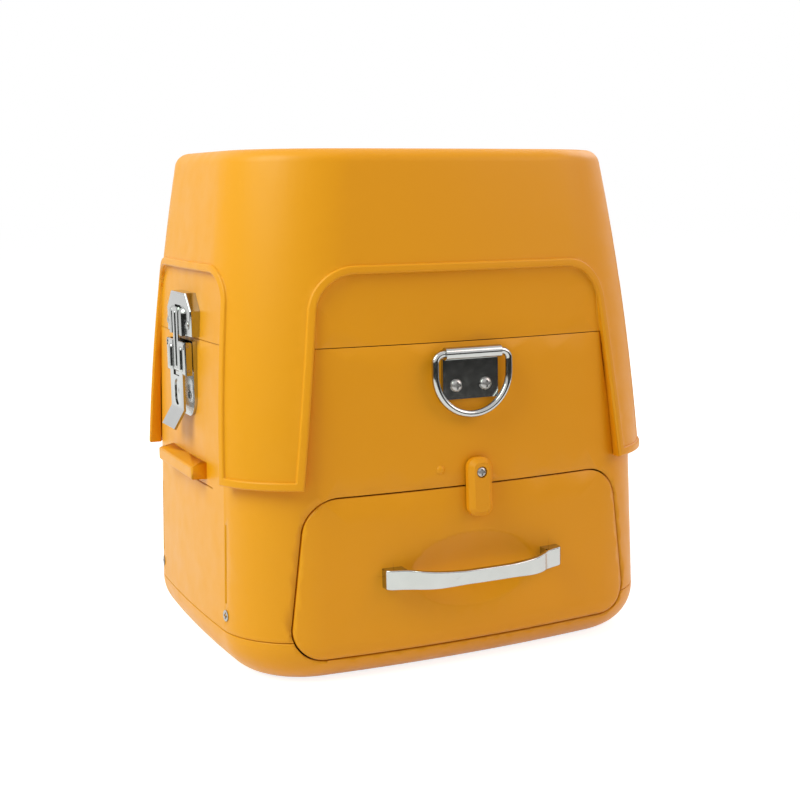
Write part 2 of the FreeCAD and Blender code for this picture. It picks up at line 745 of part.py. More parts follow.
def runner():
    """Left runner: a rail under the tray with a lip that guides its side."""
    lip_in = -TRAY_HALF - RUNNER_GAP
    lip_out = lip_in - RUNNER_LIP_WALL
    half = BODY_DEPTH / 2 - RUNNER_INSET
    top = TRAY_FLOOR_Z - RUNNER_GAP
    rail = box(lip_out, lip_in + RUNNER_WIDTH, -half, half, WALL, top)
    lip = box(lip_out, lip_in, -half, half, WALL, top + RUNNER_LIP_HEIGHT)
    return join([rail, lip])


def runner_screws(grow=0.0):
    """Sunk screws that hold the left runner to the pan's floor."""
    x = -TRAY_HALF - RUNNER_GAP + RUNNER_WIDTH / 2
    screw_y = BODY_DEPTH / 2 - RUNNER_INSET - RUNNER_SCREW_INSET
    seat_z = TRAY_FLOOR_Z - RUNNER_GAP - RUNNER_SCREW_SINK
    screws = []
    for y in (-screw_y, screw_y):
        low = Vector(x, y, WALL - RUNNER_SCREW_BITE)
        seat = Vector(x, y, seat_z)
        shank = rod(low, seat, RUNNER_SCREW_R + grow)
        head_height = RUNNER_SCREW_SINK if grow else RUNNER_SCREW_HEAD
        head = Part.makeCylinder(RUNNER_SCREW_HEAD_R + grow, head_height, seat)
        screws.append(shank.fuse(head).removeSplitter())
    return screws


def pull_plan(x_sign):
    """Points of half the pull's outer curve in plan: end, ramp and the start of the straight."""
    end_x = PULL_LENGTH / 2
    flat_x = end_x - PULL_RAMP
    middle_x = (end_x + flat_x) / 2
    middle_reach = (PULL_END_REACH + PULL_REACH) / 2
    quarter = PULL_RAMP / 4
    rise = PULL_REACH - PULL_END_REACH
    arc_r = (PULL_RAMP ** 2 + rise ** 2) / (4 * rise)
    sag = arc_r - math.sqrt(arc_r ** 2 - quarter ** 2)
    return [(x_sign * end_x, PULL_END_REACH),
            (x_sign * (end_x - quarter), PULL_END_REACH + sag),
            (x_sign * middle_x, middle_reach),
            (x_sign * (flat_x + quarter), PULL_REACH - sag),
            (x_sign * flat_x, PULL_REACH)]


def pull_strap(inset):
    """Edges of the pull's curve in plan, moved towards the drawer by an inset."""
    y = front_y(PULL_Z)

    def at(point):
        return Vector(point[0], y - point[1] + inset, PULL_Z)

    left = [at(p) for p in pull_plan(-1)]
    right = [at(p) for p in pull_plan(1)]
    return [Part.Arc(left[0], left[1], left[2]).toShape(),
            Part.Arc(left[2], left[3], left[4]).toShape(),
            Part.makeLine(left[4], right[4]),
            Part.Arc(right[4], right[3], right[2]).toShape(),
            Part.Arc(right[2], right[1], right[0]).toShape()]


def drawer_handle():
    """Bow pull: a strap that rises from two feet and narrows towards its middle."""
    outer = pull_strap(0)
    inner = pull_strap(PULL_WALL)
    outer_ends = (outer[0].Vertexes[0].Point, outer[-1].Vertexes[-1].Point)
    inner_ends = (inner[0].Vertexes[0].Point, inner[-1].Vertexes[-1].Point)
    ends = [Part.makeLine(a, b) for a, b in zip(outer_ends, inner_ends)]
    face = Part.Face(Part.Wire(Part.__sortEdges__(outer + inner + ends)))
    height = Vector(0, 0, PULL_END_HEIGHT)
    strap = face.extrude(height)
    strap.translate(height * -0.5)
    y = front_y(PULL_Z)
    feet = []
    for side in (-1, 1):
        x0, x1 = sorted((side * PULL_LENGTH / 2, side * (PULL_LENGTH / 2 - PULL_FOOT)))
        feet.append(box(x0, x1, y - PULL_END_REACH + PULL_WALL / 2, y + DRAWER_WALL * 2,
                        PULL_Z - PULL_END_HEIGHT / 2, PULL_Z + PULL_END_HEIGHT / 2))
    solid = join([strap] + feet)
    end = PULL_LENGTH / 2
    foot = end - PULL_FOOT
    flat = end - PULL_RAMP - PULL_FOOT
    tall = PULL_END_HEIGHT / 2
    slim = PULL_MIDDLE_HEIGHT / 2
    upper = [(end, tall), (foot, tall), (flat, slim), (-flat, slim), (-foot, tall), (-end, tall)]
    lower = [(-x, -z) for x, z in upper]
    outline = [Vector(x, -REACH, PULL_Z + z) for x, z in upper + lower]
    shape = Part.Face(Part.makePolygon(outline + outline[:1])).extrude(Vector(0, REACH, 0))
    solid = solid.common(shape).cut(core(BOTTOM_EDGE_R, DRAWER_TOP_Z, SEAT_GAP))
    corners = [e for e in solid.Edges if on_pull(e) and all(abs(abs(v.X) - end) < 1e-3 for v in e.Vertexes)]
    solid = solid.makeFillet(PULL_CORNER_R, corners)
    front_edges = [e for e in solid.Edges if on_pull(e)]
    return solid.makeFillet(PULL_EDGE_R, front_edges)


def on_pull(edge):
    """True where an edge's middle lies on the pull's outer curve."""
    middle = edge.valueAt((edge.FirstParameter + edge.LastParameter) / 2)
    middle.z = PULL_Z
    point = Part.Vertex(middle)
    return min(point.distToShape(piece)[0] for piece in pull_strap(0)) < 1e-3


def handle_screws(grow=0.0):
    """Screws from inside the drawer into the pull's feet."""
    screws = []
    for side in (-1, 1):
        x = side * (PULL_LENGTH - PULL_FOOT) / 2
        seat = Vector(x, front_face_y(x, PULL_Z) + DRAWER_WALL + PULL_SCREW_GAP, PULL_Z)
        tip = seat - Vector(0, PULL_SCREW_GAP + DRAWER_WALL + PULL_SCREW_BITE, 0)
        shank = rod(tip, seat, PULL_SCREW_R + grow)
        head = Part.makeCylinder(PULL_SCREW_HEAD_R, PULL_SCREW_HEAD, seat, Vector(0, 1, 0))
        screws.append(shank.fuse(head).removeSplitter())
    return screws


def lean_on_front(shape, x, z):
    """Set a shape that is drawn on the plane y = 0 against the leaning front at a place."""
    leaning = shape.copy()
    leaning.rotate(Vector(0, 0, 0), Vector(1, 0, 0), -BODY_DRAFT)
    leaning.translate(Vector(x, front_face_y(x, z), z))
    return leaning


def turn_button():
    """Bar with bevelled sides and round ends that hangs over the drawer's top edge."""
    half = BUTTON_WIDTH / 2
    corners = [(-half, -BUTTON_BELOW), (half, -BUTTON_BELOW), (half, BUTTON_ABOVE), (-half, BUTTON_ABOVE)]
    radii = [BUTTON_END_R] * 4

    def at(x, z):
        return Vector(x, -WASHER_WALL, z)

    solid = Part.Face(rounded_wire(corners, radii, at)).extrude(Vector(0, -BUTTON_WALL, 0))
    front = -WASHER_WALL - BUTTON_WALL
    rim = [e for e in solid.Edges if all(abs(v.Y - front) < 1e-4 for v in e.Vertexes)]
    solid = solid.makeChamfer(BUTTON_BEVEL, rim)
    sink = -WASHER_WALL - BUTTON_WALL + BUTTON_SCREW_HEAD
    hole = rod(Vector(0, 0, 0), Vector(0, front * 2, 0), BUTTON_SCREW_R + RUN_GAP)
    seat = rod(Vector(0, sink, 0), Vector(0, front * 2, 0), BUTTON_SCREW_HEAD_R + RUN_GAP * 3)
    return lean_on_front(solid.cut(hole).cut(seat), BUTTON_X, BUTTON_Z)


def button_screw(grow=0.0):
    seat_y = -WASHER_WALL - BUTTON_WALL + BUTTON_SCREW_HEAD - RUN_GAP
    shank = rod(Vector(0, BUTTON_SCREW_TAIL, 0), Vector(0, seat_y, 0), BUTTON_SCREW_R + grow)
    head = rod(Vector(0, seat_y, 0), Vector(0, seat_y - BUTTON_SCREW_HEAD, 0), BUTTON_SCREW_HEAD_R)
    return lean_on_front(shank.fuse(head).removeSplitter(), BUTTON_X, BUTTON_Z)


def button_washer():
    plate = rod(Vector(0, -SEAT_GAP, 0), Vector(0, -WASHER_WALL + SEAT_GAP, 0), WASHER_R)
    hole = rod(Vector(0, WALL, 0), Vector(0, -WASHER_WALL * 2, 0), BUTTON_SCREW_R + SEAT_GAP)
    return lean_on_front(plate.cut(hole), BUTTON_X, BUTTON_Z)


def button_nut():
    """Hexagon nut on the button's screw, inside the front wall."""
    corner_r = NUT_ACROSS / math.sqrt(3)
    seat = WALL + NUT_GAP
    points = []
    for i in range(7):
        turn = math.radians(60 * i)
        points.append(Vector(corner_r * math.cos(turn), seat, corner_r * math.sin(turn)))
    nut = Part.Face(Part.makePolygon(points)).extrude(Vector(0, NUT_WALL, 0))
    hole = rod(Vector(0, 0, 0), Vector(0, BUTTON_SCREW_TAIL * 2, 0), BUTTON_SCREW_R + SEAT_GAP)
    return lean_on_front(nut.cut(hole), BUTTON_X, BUTTON_Z)


def roll_r():
    return RING_WIRE_R + RUN_GAP + ROLL_WALL


def ring_axis_y():
    """Place of the ring's hinge axis in front of the body."""
    return front_y(PLATE_LOW_Z) - PLATE_WALL - RING_GAP - RING_WIRE_R


def ring_plate():
    """Steel plate whose top edge is rolled round the ring's bar."""
    half = PLATE_WIDTH / 2
    y = ring_axis_y()
    face_y = front_y(PLATE_LOW_Z) - PLATE_WALL
    plate = box(-half, half, face_y, face_y + WALL * 2, PLATE_LOW_Z, RING_AXIS_Z)
    roll = rod(Vector(-half, y, RING_AXIS_Z), Vector(half, y, RING_AXIS_Z), roll_r())
    web = box(-half, half, face_y, face_y + WALL * 2, RING_AXIS_Z - roll_r(), RING_AXIS_Z + roll_r() / 2)
    solid = join([plate, roll, web])
    bore = rod(Vector(-REACH, y, RING_AXIS_Z), Vector(REACH, y, RING_AXIS_Z), RING_WIRE_R + RUN_GAP)
    return solid.cut(bore).cut(core(PLATE_LOW_Z - WALL, PARTING_Z, SEAT_GAP))


def ring():
    """D-shaped ring of round wire that hangs from the plate's roll."""
    y = ring_axis_y()
    side = RING_WIDTH / 2 - RING_WIRE_R
    bow_z = RING_AXIS_Z - RING_DROP + side
    turn = RING_SHOULDER_R
    bend = turn * math.sqrt(0.5)

    def at(x, z):
        return Vector(x, y, z)

    shoulder_z = RING_AXIS_Z - turn
    path = [Part.makeLine(at(-side + turn, RING_AXIS_Z), at(side - turn, RING_AXIS_Z)),
            Part.Arc(at(side - turn, RING_AXIS_Z), at(side - turn + bend, shoulder_z + bend),
                     at(side, shoulder_z)).toShape(),
            Part.makeLine(at(side, shoulder_z), at(side, bow_z)),
            Part.Arc(at(side, bow_z), at(0, bow_z - side), at(-side, bow_z)).toShape(),
            Part.makeLine(at(-side, bow_z), at(-side, shoulder_z)),
            Part.Arc(at(-side, shoulder_z), at(-side + turn - bend, shoulder_z + bend),
                     at(-side + turn, RING_AXIS_Z)).toShape()]
    pieces = []
    for edge in path:
        start = edge.valueAt(edge.FirstParameter)
        along = edge.tangentAt(edge.FirstParameter)
        profile = Part.Wire(Part.makeCircle(RING_WIRE_R, start, along))
        pieces.append(Part.Wire(edge).makePipeShell([profile], True, True))
    return join(pieces)


def plate_screws(grow=0.0):
    """Pan-head screws through the ring plate and the front wall."""
    face_y = front_y(PLATE_LOW_Z) - PLATE_WALL
    screws = []
    for side in (-1, 1):
        seat = Vector(side * PLATE_SCREW_PITCH / 2, face_y, PLATE_SCREW_Z)
        shank = rod(seat + Vector(0, PLATE_SCREW_TAIL, 0), seat, PLATE_SCREW_R + grow)
        head = rod(seat, seat - Vector(0, PLATE_SCREW_HEAD, 0), PLATE_SCREW_HEAD_R)
        rim = [e for e in head.Edges if abs(e.BoundBox.Center.y - seat.y + PLATE_SCREW_HEAD) < 1e-4]
        head = head.makeFillet(PLATE_SCREW_HEAD * 0.6, rim)
        screws.append(shank.fuse(head).removeSplitter())
    return screws


def latch_point(reach, y, z):
    """Point on the left latch, a distance out from the wall's place at the parting line."""
    return Vector(-BODY_WIDTH / 2 - reach, y, z)


def latch_box(reach0, reach1, y0, y1, z0, z1):
    wall_x = -BODY_WIDTH / 2
    return box(wall_x - reach1, wall_x - reach0, y0, y1, z0, z1)


def plate_face(low_z):
    """Reach of a latch plate's outer face, one wall out from the body at the plate's low edge."""
    return LATCH_PLATE_WALL + body_spread(low_z)


def pivot_reach():
    """Reach of the lever's pivot, clear of the base plate."""
    return plate_face(BASE_LOW_Z) + LEVER_CLEAR + LEVER_HEAD_R


def lever_front():
    """Reach of the lever's outer face."""
    return pivot_reach() + LEVER_FRONT_OUT


def claw_pin_reach():
    return plate_face(BASE_LOW_Z) + CLAW_CLEAR + CLAW_EYE_R


def claw_front():
    """Reach of the claw's outer face."""
    return claw_pin_reach() + CLAW_EYE_R - CLAW_STEP


def keeper_face():
    """Reach of the keeper's pressed face."""
    return plate_face(KEEPER_LOW_Z) + KEEPER_OUT


def latch_plate(corners, radii, reach):
    """Plate of the left latch out to some reach, seated on the drafted wall behind it."""

    def at(y, z):
        return latch_point(reach, y, z)

    face = Part.Face(rounded_wire(corners, radii, at))
    plate = face.extrude(Vector(reach + HOOD_WALL * 2, 0, 0))
    return plate.cut(core(BASE_LOW_Z - WALL, KEEPER_TOP_Z + WALL, SEAT_GAP))


def outer_rim(shape, reach):
    """Edges of a latch piece that lie all along on its outer face."""
    face_x = latch_point(reach, 0, 0).x
    return [e for e in shape.Edges if abs(e.BoundBox.XMin - face_x) < 1e-4 and e.BoundBox.XLength < 1e-4]


def round_rib(reach, y, low_z, high_z, radius, out):
    """Upright rib with round ends that stands out from a face at some reach."""
    depth = reach + out - radius
    low = latch_point(depth, y, low_z)
    high = latch_point(depth, y, high_z)
    return rod(low, high, radius).multiFuse([Part.makeSphere(radius, p) for p in (low, high)])


def latch_keeper():
    """Keeper on the hood: a pressed cover with two humps beside a channel with the catch bar."""
    half = KEEPER_WIDTH / 2
    cut = KEEPER_CORNER
    corners = [(-half, KEEPER_LOW_Z), (half, KEEPER_LOW_Z), (half, KEEPER_TOP_Z - cut),
               (half - cut, KEEPER_TOP_Z), (-half + cut, KEEPER_TOP_Z), (-half, KEEPER_TOP_Z - cut)]
    reach = keeper_face()
    cover = latch_plate(corners, [0] * len(corners), reach)
    cover = cover.makeFillet(KEEPER_EDGE_R, outer_rim(cover, reach))
    inner_y = CLAW_WIDTH / 2 + CHANNEL_GAP
    hump_top = KEEPER_TOP_Z - HUMP_TOP_INSET - HUMP_R
    above = latch_box(reach - KEEPER_EDGE_R, REACH, -half, half, KEEPER_LOW_Z, KEEPER_TOP_Z)
    humps = []
    for side in (-1, 1):
        y = side * (inner_y + HUMP_R)
        humps.append(round_rib(reach, y, BASE_LOW_Z, hump_top, HUMP_R, HUMP_OUT).common(above))
    floor = plate_face(KEEPER_LOW_Z)
    channel_top = CATCH_TOP_Z + CLAW_GAP + CLAW_NOSE_WALL + CHANNEL_GAP
    channel = latch_box(floor, REACH, -inner_y, inner_y, 0, channel_top)
    catch_reach = claw_front() - CLAW_WALL - CATCH_GAP
    catch = latch_box(floor - LATCH_PLATE_WALL / 2, catch_reach, -inner_y, inner_y,
                      CATCH_TOP_Z - CATCH_WALL, CATCH_TOP_Z)
    return join([join([cover] + humps).cut(channel), catch])


def cheek_span(side, gap=0.0):
    """Low and high Y of a base cheek, which stands inside the lever's skirt."""
    outer = LEVER_WIDTH / 2 - LEVER_WALL - CHEEK_GAP
    return sorted((side * (outer - CHEEK_WALL - gap), side * (outer + gap)))


def latch_base():
    """Base plate on the body with two cheeks that carry the lever."""
    half = BASE_WIDTH / 2
    corners = [(-half, BASE_LOW_Z), (half, BASE_LOW_Z), (half, BASE_TOP_Z), (-half, BASE_TOP_Z)]
    reach = plate_face(BASE_LOW_Z)
    pieces = [latch_plate(corners, [BASE_CORNER_R, BASE_CORNER_R, 0, 0], reach)]
    low = reach - LATCH_PLATE_WALL / 2
    for side in (-1, 1):
        y0, y1 = cheek_span(side)
        cheek = latch_box(low, pivot_reach(), y0, y1, BASE_TOP_Z - CHEEK_HEIGHT, LEVER_AXIS_Z)
        ear = rod(latch_point(pivot_reach(), y0, LEVER_AXIS_Z),
                  latch_point(pivot_reach(), y1, LEVER_AXIS_Z), EAR_R)
        neck = latch_box(low, pivot_reach(), y0, y1, LEVER_AXIS_Z, LEVER_AXIS_Z + PIVOT_R)
        pieces.append(cheek.multiFuse([ear, neck]))
    return join(pieces).cut(lever_pins(RUN_GAP))


def lever_pins(grow=0.0):
    """Two stub pins that carry the lever, one in each cheek."""
    outer = LEVER_WIDTH / 2 + PIN_END / 2
    inner = LEVER_WIDTH / 2 - LEVER_WALL - CHEEK_GAP - CHEEK_WALL - PIN_END
    pins = []
    for side in (-1, 1):
        pins.append(rod(latch_point(pivot_reach(), side * inner, LEVER_AXIS_Z),
                        latch_point(pivot_reach(), side * outer, LEVER_AXIS_Z), PIVOT_R + grow))
    return Part.makeCompound(pins)


def latch_profile(points, y0, y1):
    """Solid from a profile of reach and height, drawn along the wall."""
    corners = [latch_point(reach, y0, z) for reach, z in points]
    return Part.Face(Part.makePolygon(corners + corners[:1])).extrude(Vector(0, y1 - y0, 0))


def lever_tip():
    """Tongue at the lever's low end that stands out from the case for a finger."""
    front = lever_front()
    bend_z = LEVER_AXIS_Z - LEVER_BEND
    tip_z = LEVER_AXIS_Z - LEVER_TIP_DROP
    slant = math.atan2(LEVER_TIP_OUT, bend_z - tip_z)
    drop = LEVER_WALL * math.sin(slant)
    step = LEVER_WALL * math.cos(slant)
    profile = [(front, bend_z + drop), (front + LEVER_TIP_OUT, tip_z + drop),
               (front + LEVER_TIP_OUT - step, tip_z), (front - LEVER_WALL, bend_z)]
    return latch_profile(profile, -LEVER_TIP_WIDTH / 2, LEVER_TIP_WIDTH / 2)


def latch_lever():
    """Pressed lever: a wide head with skirts and ribs, and a narrower tongue with a window."""
    half = LEVER_WIDTH / 2
    front = lever_front()
    top = LEVER_AXIS_Z + LEVER_HEAD_R - LEVER_WALL / 2
    bend_z = LEVER_AXIS_Z - LEVER_BEND
    skirt_z = LEVER_AXIS_Z - LEVER_SKIRT
    skirt_reach = plate_face(BASE_LOW_Z) + LEVER_CLEAR
    block = latch_box(skirt_reach, front, -half, half, skirt_z, top)
    rim = outer_rim(block, front)
    low_edge = [e for e in block.Edges if e.BoundBox.XLength < 1e-4 and e.BoundBox.ZMax > top - 1e-4
                and e.BoundBox.XMin > latch_point(front, 0, 0).x + 1e-4 and e.BoundBox.ZLength < 1e-4]
    block = block.makeFillet(LEVER_EDGE_R, rim + low_edge)
    inner_half = half - LEVER_WALL
    block = block.cut(latch_box(0, front - LEVER_WALL, -inner_half, inner_half, 0, CASE_HEIGHT))
    tongue_half = LEVER_TIP_WIDTH / 2
    tongue = latch_box(front - LEVER_WALL, front, -tongue_half, tongue_half, bend_z, skirt_z + LEVER_EDGE_R * 2)
    shown = latch_box(front - LEVER_WALL, REACH, -half, half, 0, CASE_HEIGHT)
    ribs = []
    for side in (-1, 1):
        rib = round_rib(front, side * LEVER_RIB_Y, LEVER_AXIS_Z - LEVER_RIB_LENGTH,
                        LEVER_AXIS_Z - LEVER_RIB_R, LEVER_RIB_R, LEVER_RIB_OUT)
        ribs.append(rib.common(shown))
    slot = CLAW_WIDTH / 2 + CLAW_SIDE_GAP
    slot_low = LEVER_AXIS_Z - LEVER_SLOT
    opening = latch_box(0, REACH, -slot, slot, slot_low, CASE_HEIGHT)
    for side in (-1, 1):
        y0, y1 = cheek_span(side, CHEEK_GAP)
        opening = opening.fuse(latch_box(0, REACH, y0, y1, LEVER_AXIS_Z - EAR_R - CHEEK_GAP, CASE_HEIGHT))
    window_r = LEVER_WINDOW_WIDTH / 2
    window_top = LEVER_AXIS_Z - LEVER_WINDOW_DROP
    window_low = window_top - LEVER_WINDOW_HEIGHT
    window = latch_box(0, REACH, -window_r, window_r, window_low + window_r, window_top - window_r)
    for z in (window_low + window_r, window_top - window_r):
        window = window.fuse(rod(latch_point(0, 0, z), latch_point(REACH, 0, z), window_r))
    solid = join([block, tongue, lever_tip()] + ribs)
    return solid.cut(opening).cut(window).cut(lever_pins(RUN_GAP)).cut(claw_pin(SEAT_GAP))


def claw_pin(grow=0.0):
    half = LEVER_WIDTH / 2
    reach = claw_pin_reach()
    return rod(latch_point(reach, -half, CLAW_AXIS_Z), latch_point(reach, half, CLAW_AXIS_Z),
               CLAW_PIN_R + grow)


def latch_claw():
    """Ribbed hook that rises from the lever's pin and reaches over the keeper's catch bar."""
    half = CLAW_WIDTH / 2
    reach = claw_pin_reach()
    outer = claw_front()
    nose_low = CATCH_TOP_Z + CLAW_GAP
    nose_top = nose_low + CLAW_NOSE_WALL
    eye = rod(latch_point(reach, -half, CLAW_AXIS_Z), latch_point(reach, half, CLAW_AXIS_Z), CLAW_EYE_R)
    strap = latch_box(outer - CLAW_WALL, outer, -half, half, CLAW_AXIS_Z, nose_top)
    nose = latch_box(outer - CLAW_NOSE, outer, -half, half, nose_low, nose_top)
    hook = join([eye, strap, nose])
    hook = hook.makeFillet(CLAW_EDGE_R, [e for e in outer_rim(hook, outer) if e.BoundBox.ZMax > nose_top - 1e-4])
    rib = round_rib(outer, 0, CLAW_AXIS_Z + CLAW_RIB_R, nose_low - CLAW_RIB_R, CLAW_RIB_R, CLAW_RIB_OUT)
    rib = rib.common(latch_box(outer - CLAW_WALL / 2, REACH, -half, half, 0, CASE_HEIGHT))
    return join([hook, rib]).cut(claw_pin(RUN_GAP))


def rivets(face, thickness, places, grow=0.0):
    """Dome-head rivets through a latch plate and the wall behind it; face is the plate's reach."""
    dome_r = (RIVET_HEAD_R ** 2 + RIVET_HEAD ** 2) / (2 * RIVET_HEAD)
    out = []
    for y, z in places:
        seat = latch_point(face, y, z)
        shank = rod(seat + Vector(thickness + RIVET_TAIL, 0, 0), seat, RIVET_R + grow)
        ball = Part.makeSphere(dome_r, latch_point(face + RIVET_HEAD - dome_r, y, z))
        dome = ball.common(latch_box(face, face + RIVET_HEAD * 2, y - REACH, y + REACH, 0, CASE_HEIGHT))
        out.append(shank.fuse(dome).removeSplitter())
    return out


def keeper_rivets(grow=0.0):
    y = KEEPER_WIDTH / 2 - KEEPER_RIVET_INSET
    places = [(side * y, KEEPER_LOW_Z + KEEPER_RIVET_RISE) for side in (-1, 1)]
    return rivets(keeper_face(), KEEPER_OUT + LATCH_PLATE_WALL, places, grow)


def base_rivets(grow=0.0):
    places = [(side * BASE_RIVET_Y, BASE_LOW_Z + BASE_RIVET_RISE) for side in (-1, 1)]
    return rivets(plate_face(BASE_LOW_Z), LATCH_PLATE_WALL, places, grow)


def both_sides(shapes):
    """Shapes of the left side together with their copies on the right."""
    return list(shapes) + [turned(s) for s in shapes]


def build():
    """All nodes by name."""
    group = Part.makeCompound
    nodes = {}
    screws = plate_screws()

    gasket = lid_gasket()
    lid_holes = group(both_sides(keeper_rivets(SEAT_GAP)))
    nodes["hood_shell"] = hood_shell(gasket).cut(lid_holes)
    nodes["lid_gasket"] = gasket

    body, pan = split_body(body_tub())
    ledge_z = DECK_Z - DECK_LEDGE_WALL
    ledge = ring_at(ledge_z, DECK_Z, WALL / 2, WALL + DECK_LEDGE).common(hood(-LEG_INNER - WALL / 2))
    body = join([body, ledge, stop_bump()])
    wall_holes = both_sides(base_rivets(SEAT_GAP) + plate_screws(SEAT_GAP))
    wall_holes += base_screws(SEAT_GAP) + deck_screws(SEAT_GAP) + [button_screw(SEAT_GAP)]
    nodes["body_shell"] = body.cut(group(wall_holes))
    pan = join([pan, base_tabs()])
    pan_holes = group(base_screws(SEAT_GAP) + both_sides(runner_screws(SEAT_GAP)))
    nodes["base_pan"] = pan.cut(pan_holes)
    nodes["base_screws"] = group(base_screws())
    nodes["left_grip_ledge"] = grip_ledge()
    nodes["right_grip_ledge"] = turned(grip_ledge())
    nodes["instrument_deck"] = instrument_deck().cut(group(deck_screws(SEAT_GAP)))
    nodes["deck_screws"] = group(deck_screws())

    front_holes = group(tray_screws(SEAT_GAP) + handle_screws(SEAT_GAP))
    nodes["drawer_front"] = drawer_front().cut(front_holes)
    nodes["drawer_tray"] = drawer_tray().cut(group(tray_screws(SEAT_GAP)))
    nodes["drawer_screws"] = group(tray_screws())
    nodes["drawer_handle"] = drawer_handle().cut(group(handle_screws(SEAT_GAP)))
    nodes["handle_screws"] = group(handle_screws())
    rail = runner().cut(group(runner_screws(SEAT_GAP)))
    nodes["drawer_runner_left"] = rail
    nodes["drawer_runner_right"] = turned(rail)
    nodes["runner_screws"] = group(both_sides(runner_screws()))

    nodes["turn_button"] = turn_button()
    nodes["turn_button_screw"] = button_screw()
    nodes["turn_button_washer"] = button_washer()
    nodes["turn_button_nut"] = button_nut()

    plate = ring_plate().cut(group(plate_screws(SEAT_GAP)))
    hanging_ring = ring()
    for name, place in (("front", Part.Shape.copy), ("back", turned)):
        nodes[name + "_ring_plate"] = place(plate)
        nodes[name + "_ring"] = place(hanging_ring)
        nodes[name + "_ring_screws"] = group([place(s) for s in screws])

    keeper = latch_keeper().cut(group(keeper_rivets(SEAT_GAP)))
    base = latch_base().cut(group(base_rivets(SEAT_GAP)))
    lever = latch_lever()
    claw = latch_claw()
    for name, place in (("left", Part.Shape.copy), ("right", turned)):
        nodes[name + "_latch_keeper"] = place(keeper)
        nodes[name + "_keeper_rivets"] = group([place(s) for s in keeper_rivets()])
        nodes[name + "_latch_base"] = place(base)
        nodes[name + "_base_rivets"] = group([place(s) for s in base_rivets()])
        nodes[name + "_lever_pins"] = place(lever_pins())
        nodes[name + "_latch_lever"] = place(lever)
        nodes[name + "_claw_pin"] = place(claw_pin())
        nodes[name + "_latch_claw"] = place(claw)
    return nodes


def main():
    os.makedirs("parts", exist_ok=True)
    for name, shape in build().items():
        shape.exportStep("parts/" + name + ".step")


main()
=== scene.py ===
"""Looks for the instrument carrying case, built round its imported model."""

import json
import math

import bmesh
import bpy
from bpy.props import FloatProperty, FloatVectorProperty, IntProperty, PointerProperty
from mathutils import Matrix, Vector
from mathutils.bvhtree import BVHTree


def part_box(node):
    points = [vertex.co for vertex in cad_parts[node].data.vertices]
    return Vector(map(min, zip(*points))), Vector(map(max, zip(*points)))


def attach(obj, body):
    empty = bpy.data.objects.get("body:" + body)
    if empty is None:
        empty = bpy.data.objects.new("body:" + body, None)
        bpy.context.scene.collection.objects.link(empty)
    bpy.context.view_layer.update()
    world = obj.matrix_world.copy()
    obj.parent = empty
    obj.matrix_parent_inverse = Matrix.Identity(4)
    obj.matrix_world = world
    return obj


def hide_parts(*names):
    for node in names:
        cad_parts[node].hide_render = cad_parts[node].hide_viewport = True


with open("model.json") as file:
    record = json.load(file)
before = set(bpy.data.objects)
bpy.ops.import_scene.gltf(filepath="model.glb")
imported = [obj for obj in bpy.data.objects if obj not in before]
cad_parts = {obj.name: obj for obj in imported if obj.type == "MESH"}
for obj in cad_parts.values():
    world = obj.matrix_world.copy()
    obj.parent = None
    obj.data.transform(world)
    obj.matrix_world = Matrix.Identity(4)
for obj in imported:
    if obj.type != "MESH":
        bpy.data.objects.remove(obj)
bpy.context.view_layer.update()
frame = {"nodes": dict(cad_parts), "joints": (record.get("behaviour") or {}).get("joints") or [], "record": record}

bl_info = {
    "name": "Instrument Carrying Case",
    "version": (1, 0, 0),
    "blender": (4, 5, 0),
    "location": "View3D > Sidebar > Carrying Case",
    "description": "Dresses the packed carrying case: shells, hardware, fasteners and a studio",
    "category": "Object",
}

# Node names by the way they are finished
SHELL_NODES = ("hood_shell", "body_shell", "base_pan", "left_grip_ledge", "right_grip_ledge",
               "drawer_front", "drawer_tray")
INSIDE_NODES = ("instrument_deck", "drawer_runner_left", "drawer_runner_right")
CHROME_NODES = ("drawer_handle", "front_ring_plate", "front_ring", "back_ring_plate", "back_ring",
                "left_latch_keeper", "left_latch_base", "left_latch_lever", "left_latch_claw",
                "right_latch_keeper", "right_latch_base", "right_latch_lever", "right_latch_claw")
STEEL_NODES = ("turn_button_washer", "turn_button_nut", "left_lever_pins", "left_claw_pin",
               "right_lever_pins", "right_claw_pin")

# Clean-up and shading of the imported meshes, in metres
MERGE_DISTANCE = 2e-6
FLAT_ANGLE = math.radians(0.4)
NORMAL_WEIGHT = 50

# Rows of points across each end of the pull, and how near to a row a point is taken as on it
PULL_ROWS = 12
PULL_SNAP = 5e-5

# Head radius, head height and shank radius of the fasteners, in metres
RING_SCREW = (0.0043, 0.0026, 0.0020)
BASE_SCREW = (0.0039, 0.0019, 0.0020)
SMALL_SCREW = (0.0032, 0.0016, 0.0016)
HANDLE_SCREW = (0.0040, 0.0024, 0.0020)
BUTTON_SCREW = (0.0038, 0.0020, 0.0020)
RIVET = (0.0030, 0.0013, 0.0016)
HANDLE_SCREW_TRIM = 0.002

# Shape of the fasteners: the ball of a domed head as shares of the head, where the middle of a shank lies
# as a share of its length, and the depth of the cross recess's second slot as a share of the first
DOME_RINGS = 24
DOME_WIDTH = 1.06
DOME_HEIGHT = 1.10
SHANK_MIDDLE = -0.48
SECOND_SLOT = 0.96
FASTENER_SHARP = math.radians(30)

# Base screws, in metres: reach and start of the rays that feel for the wall, and how proud the heads stand
FEELER_REACH = 0.007
FEELER_START = 0.05
HEAD_PROUD = 0.0007

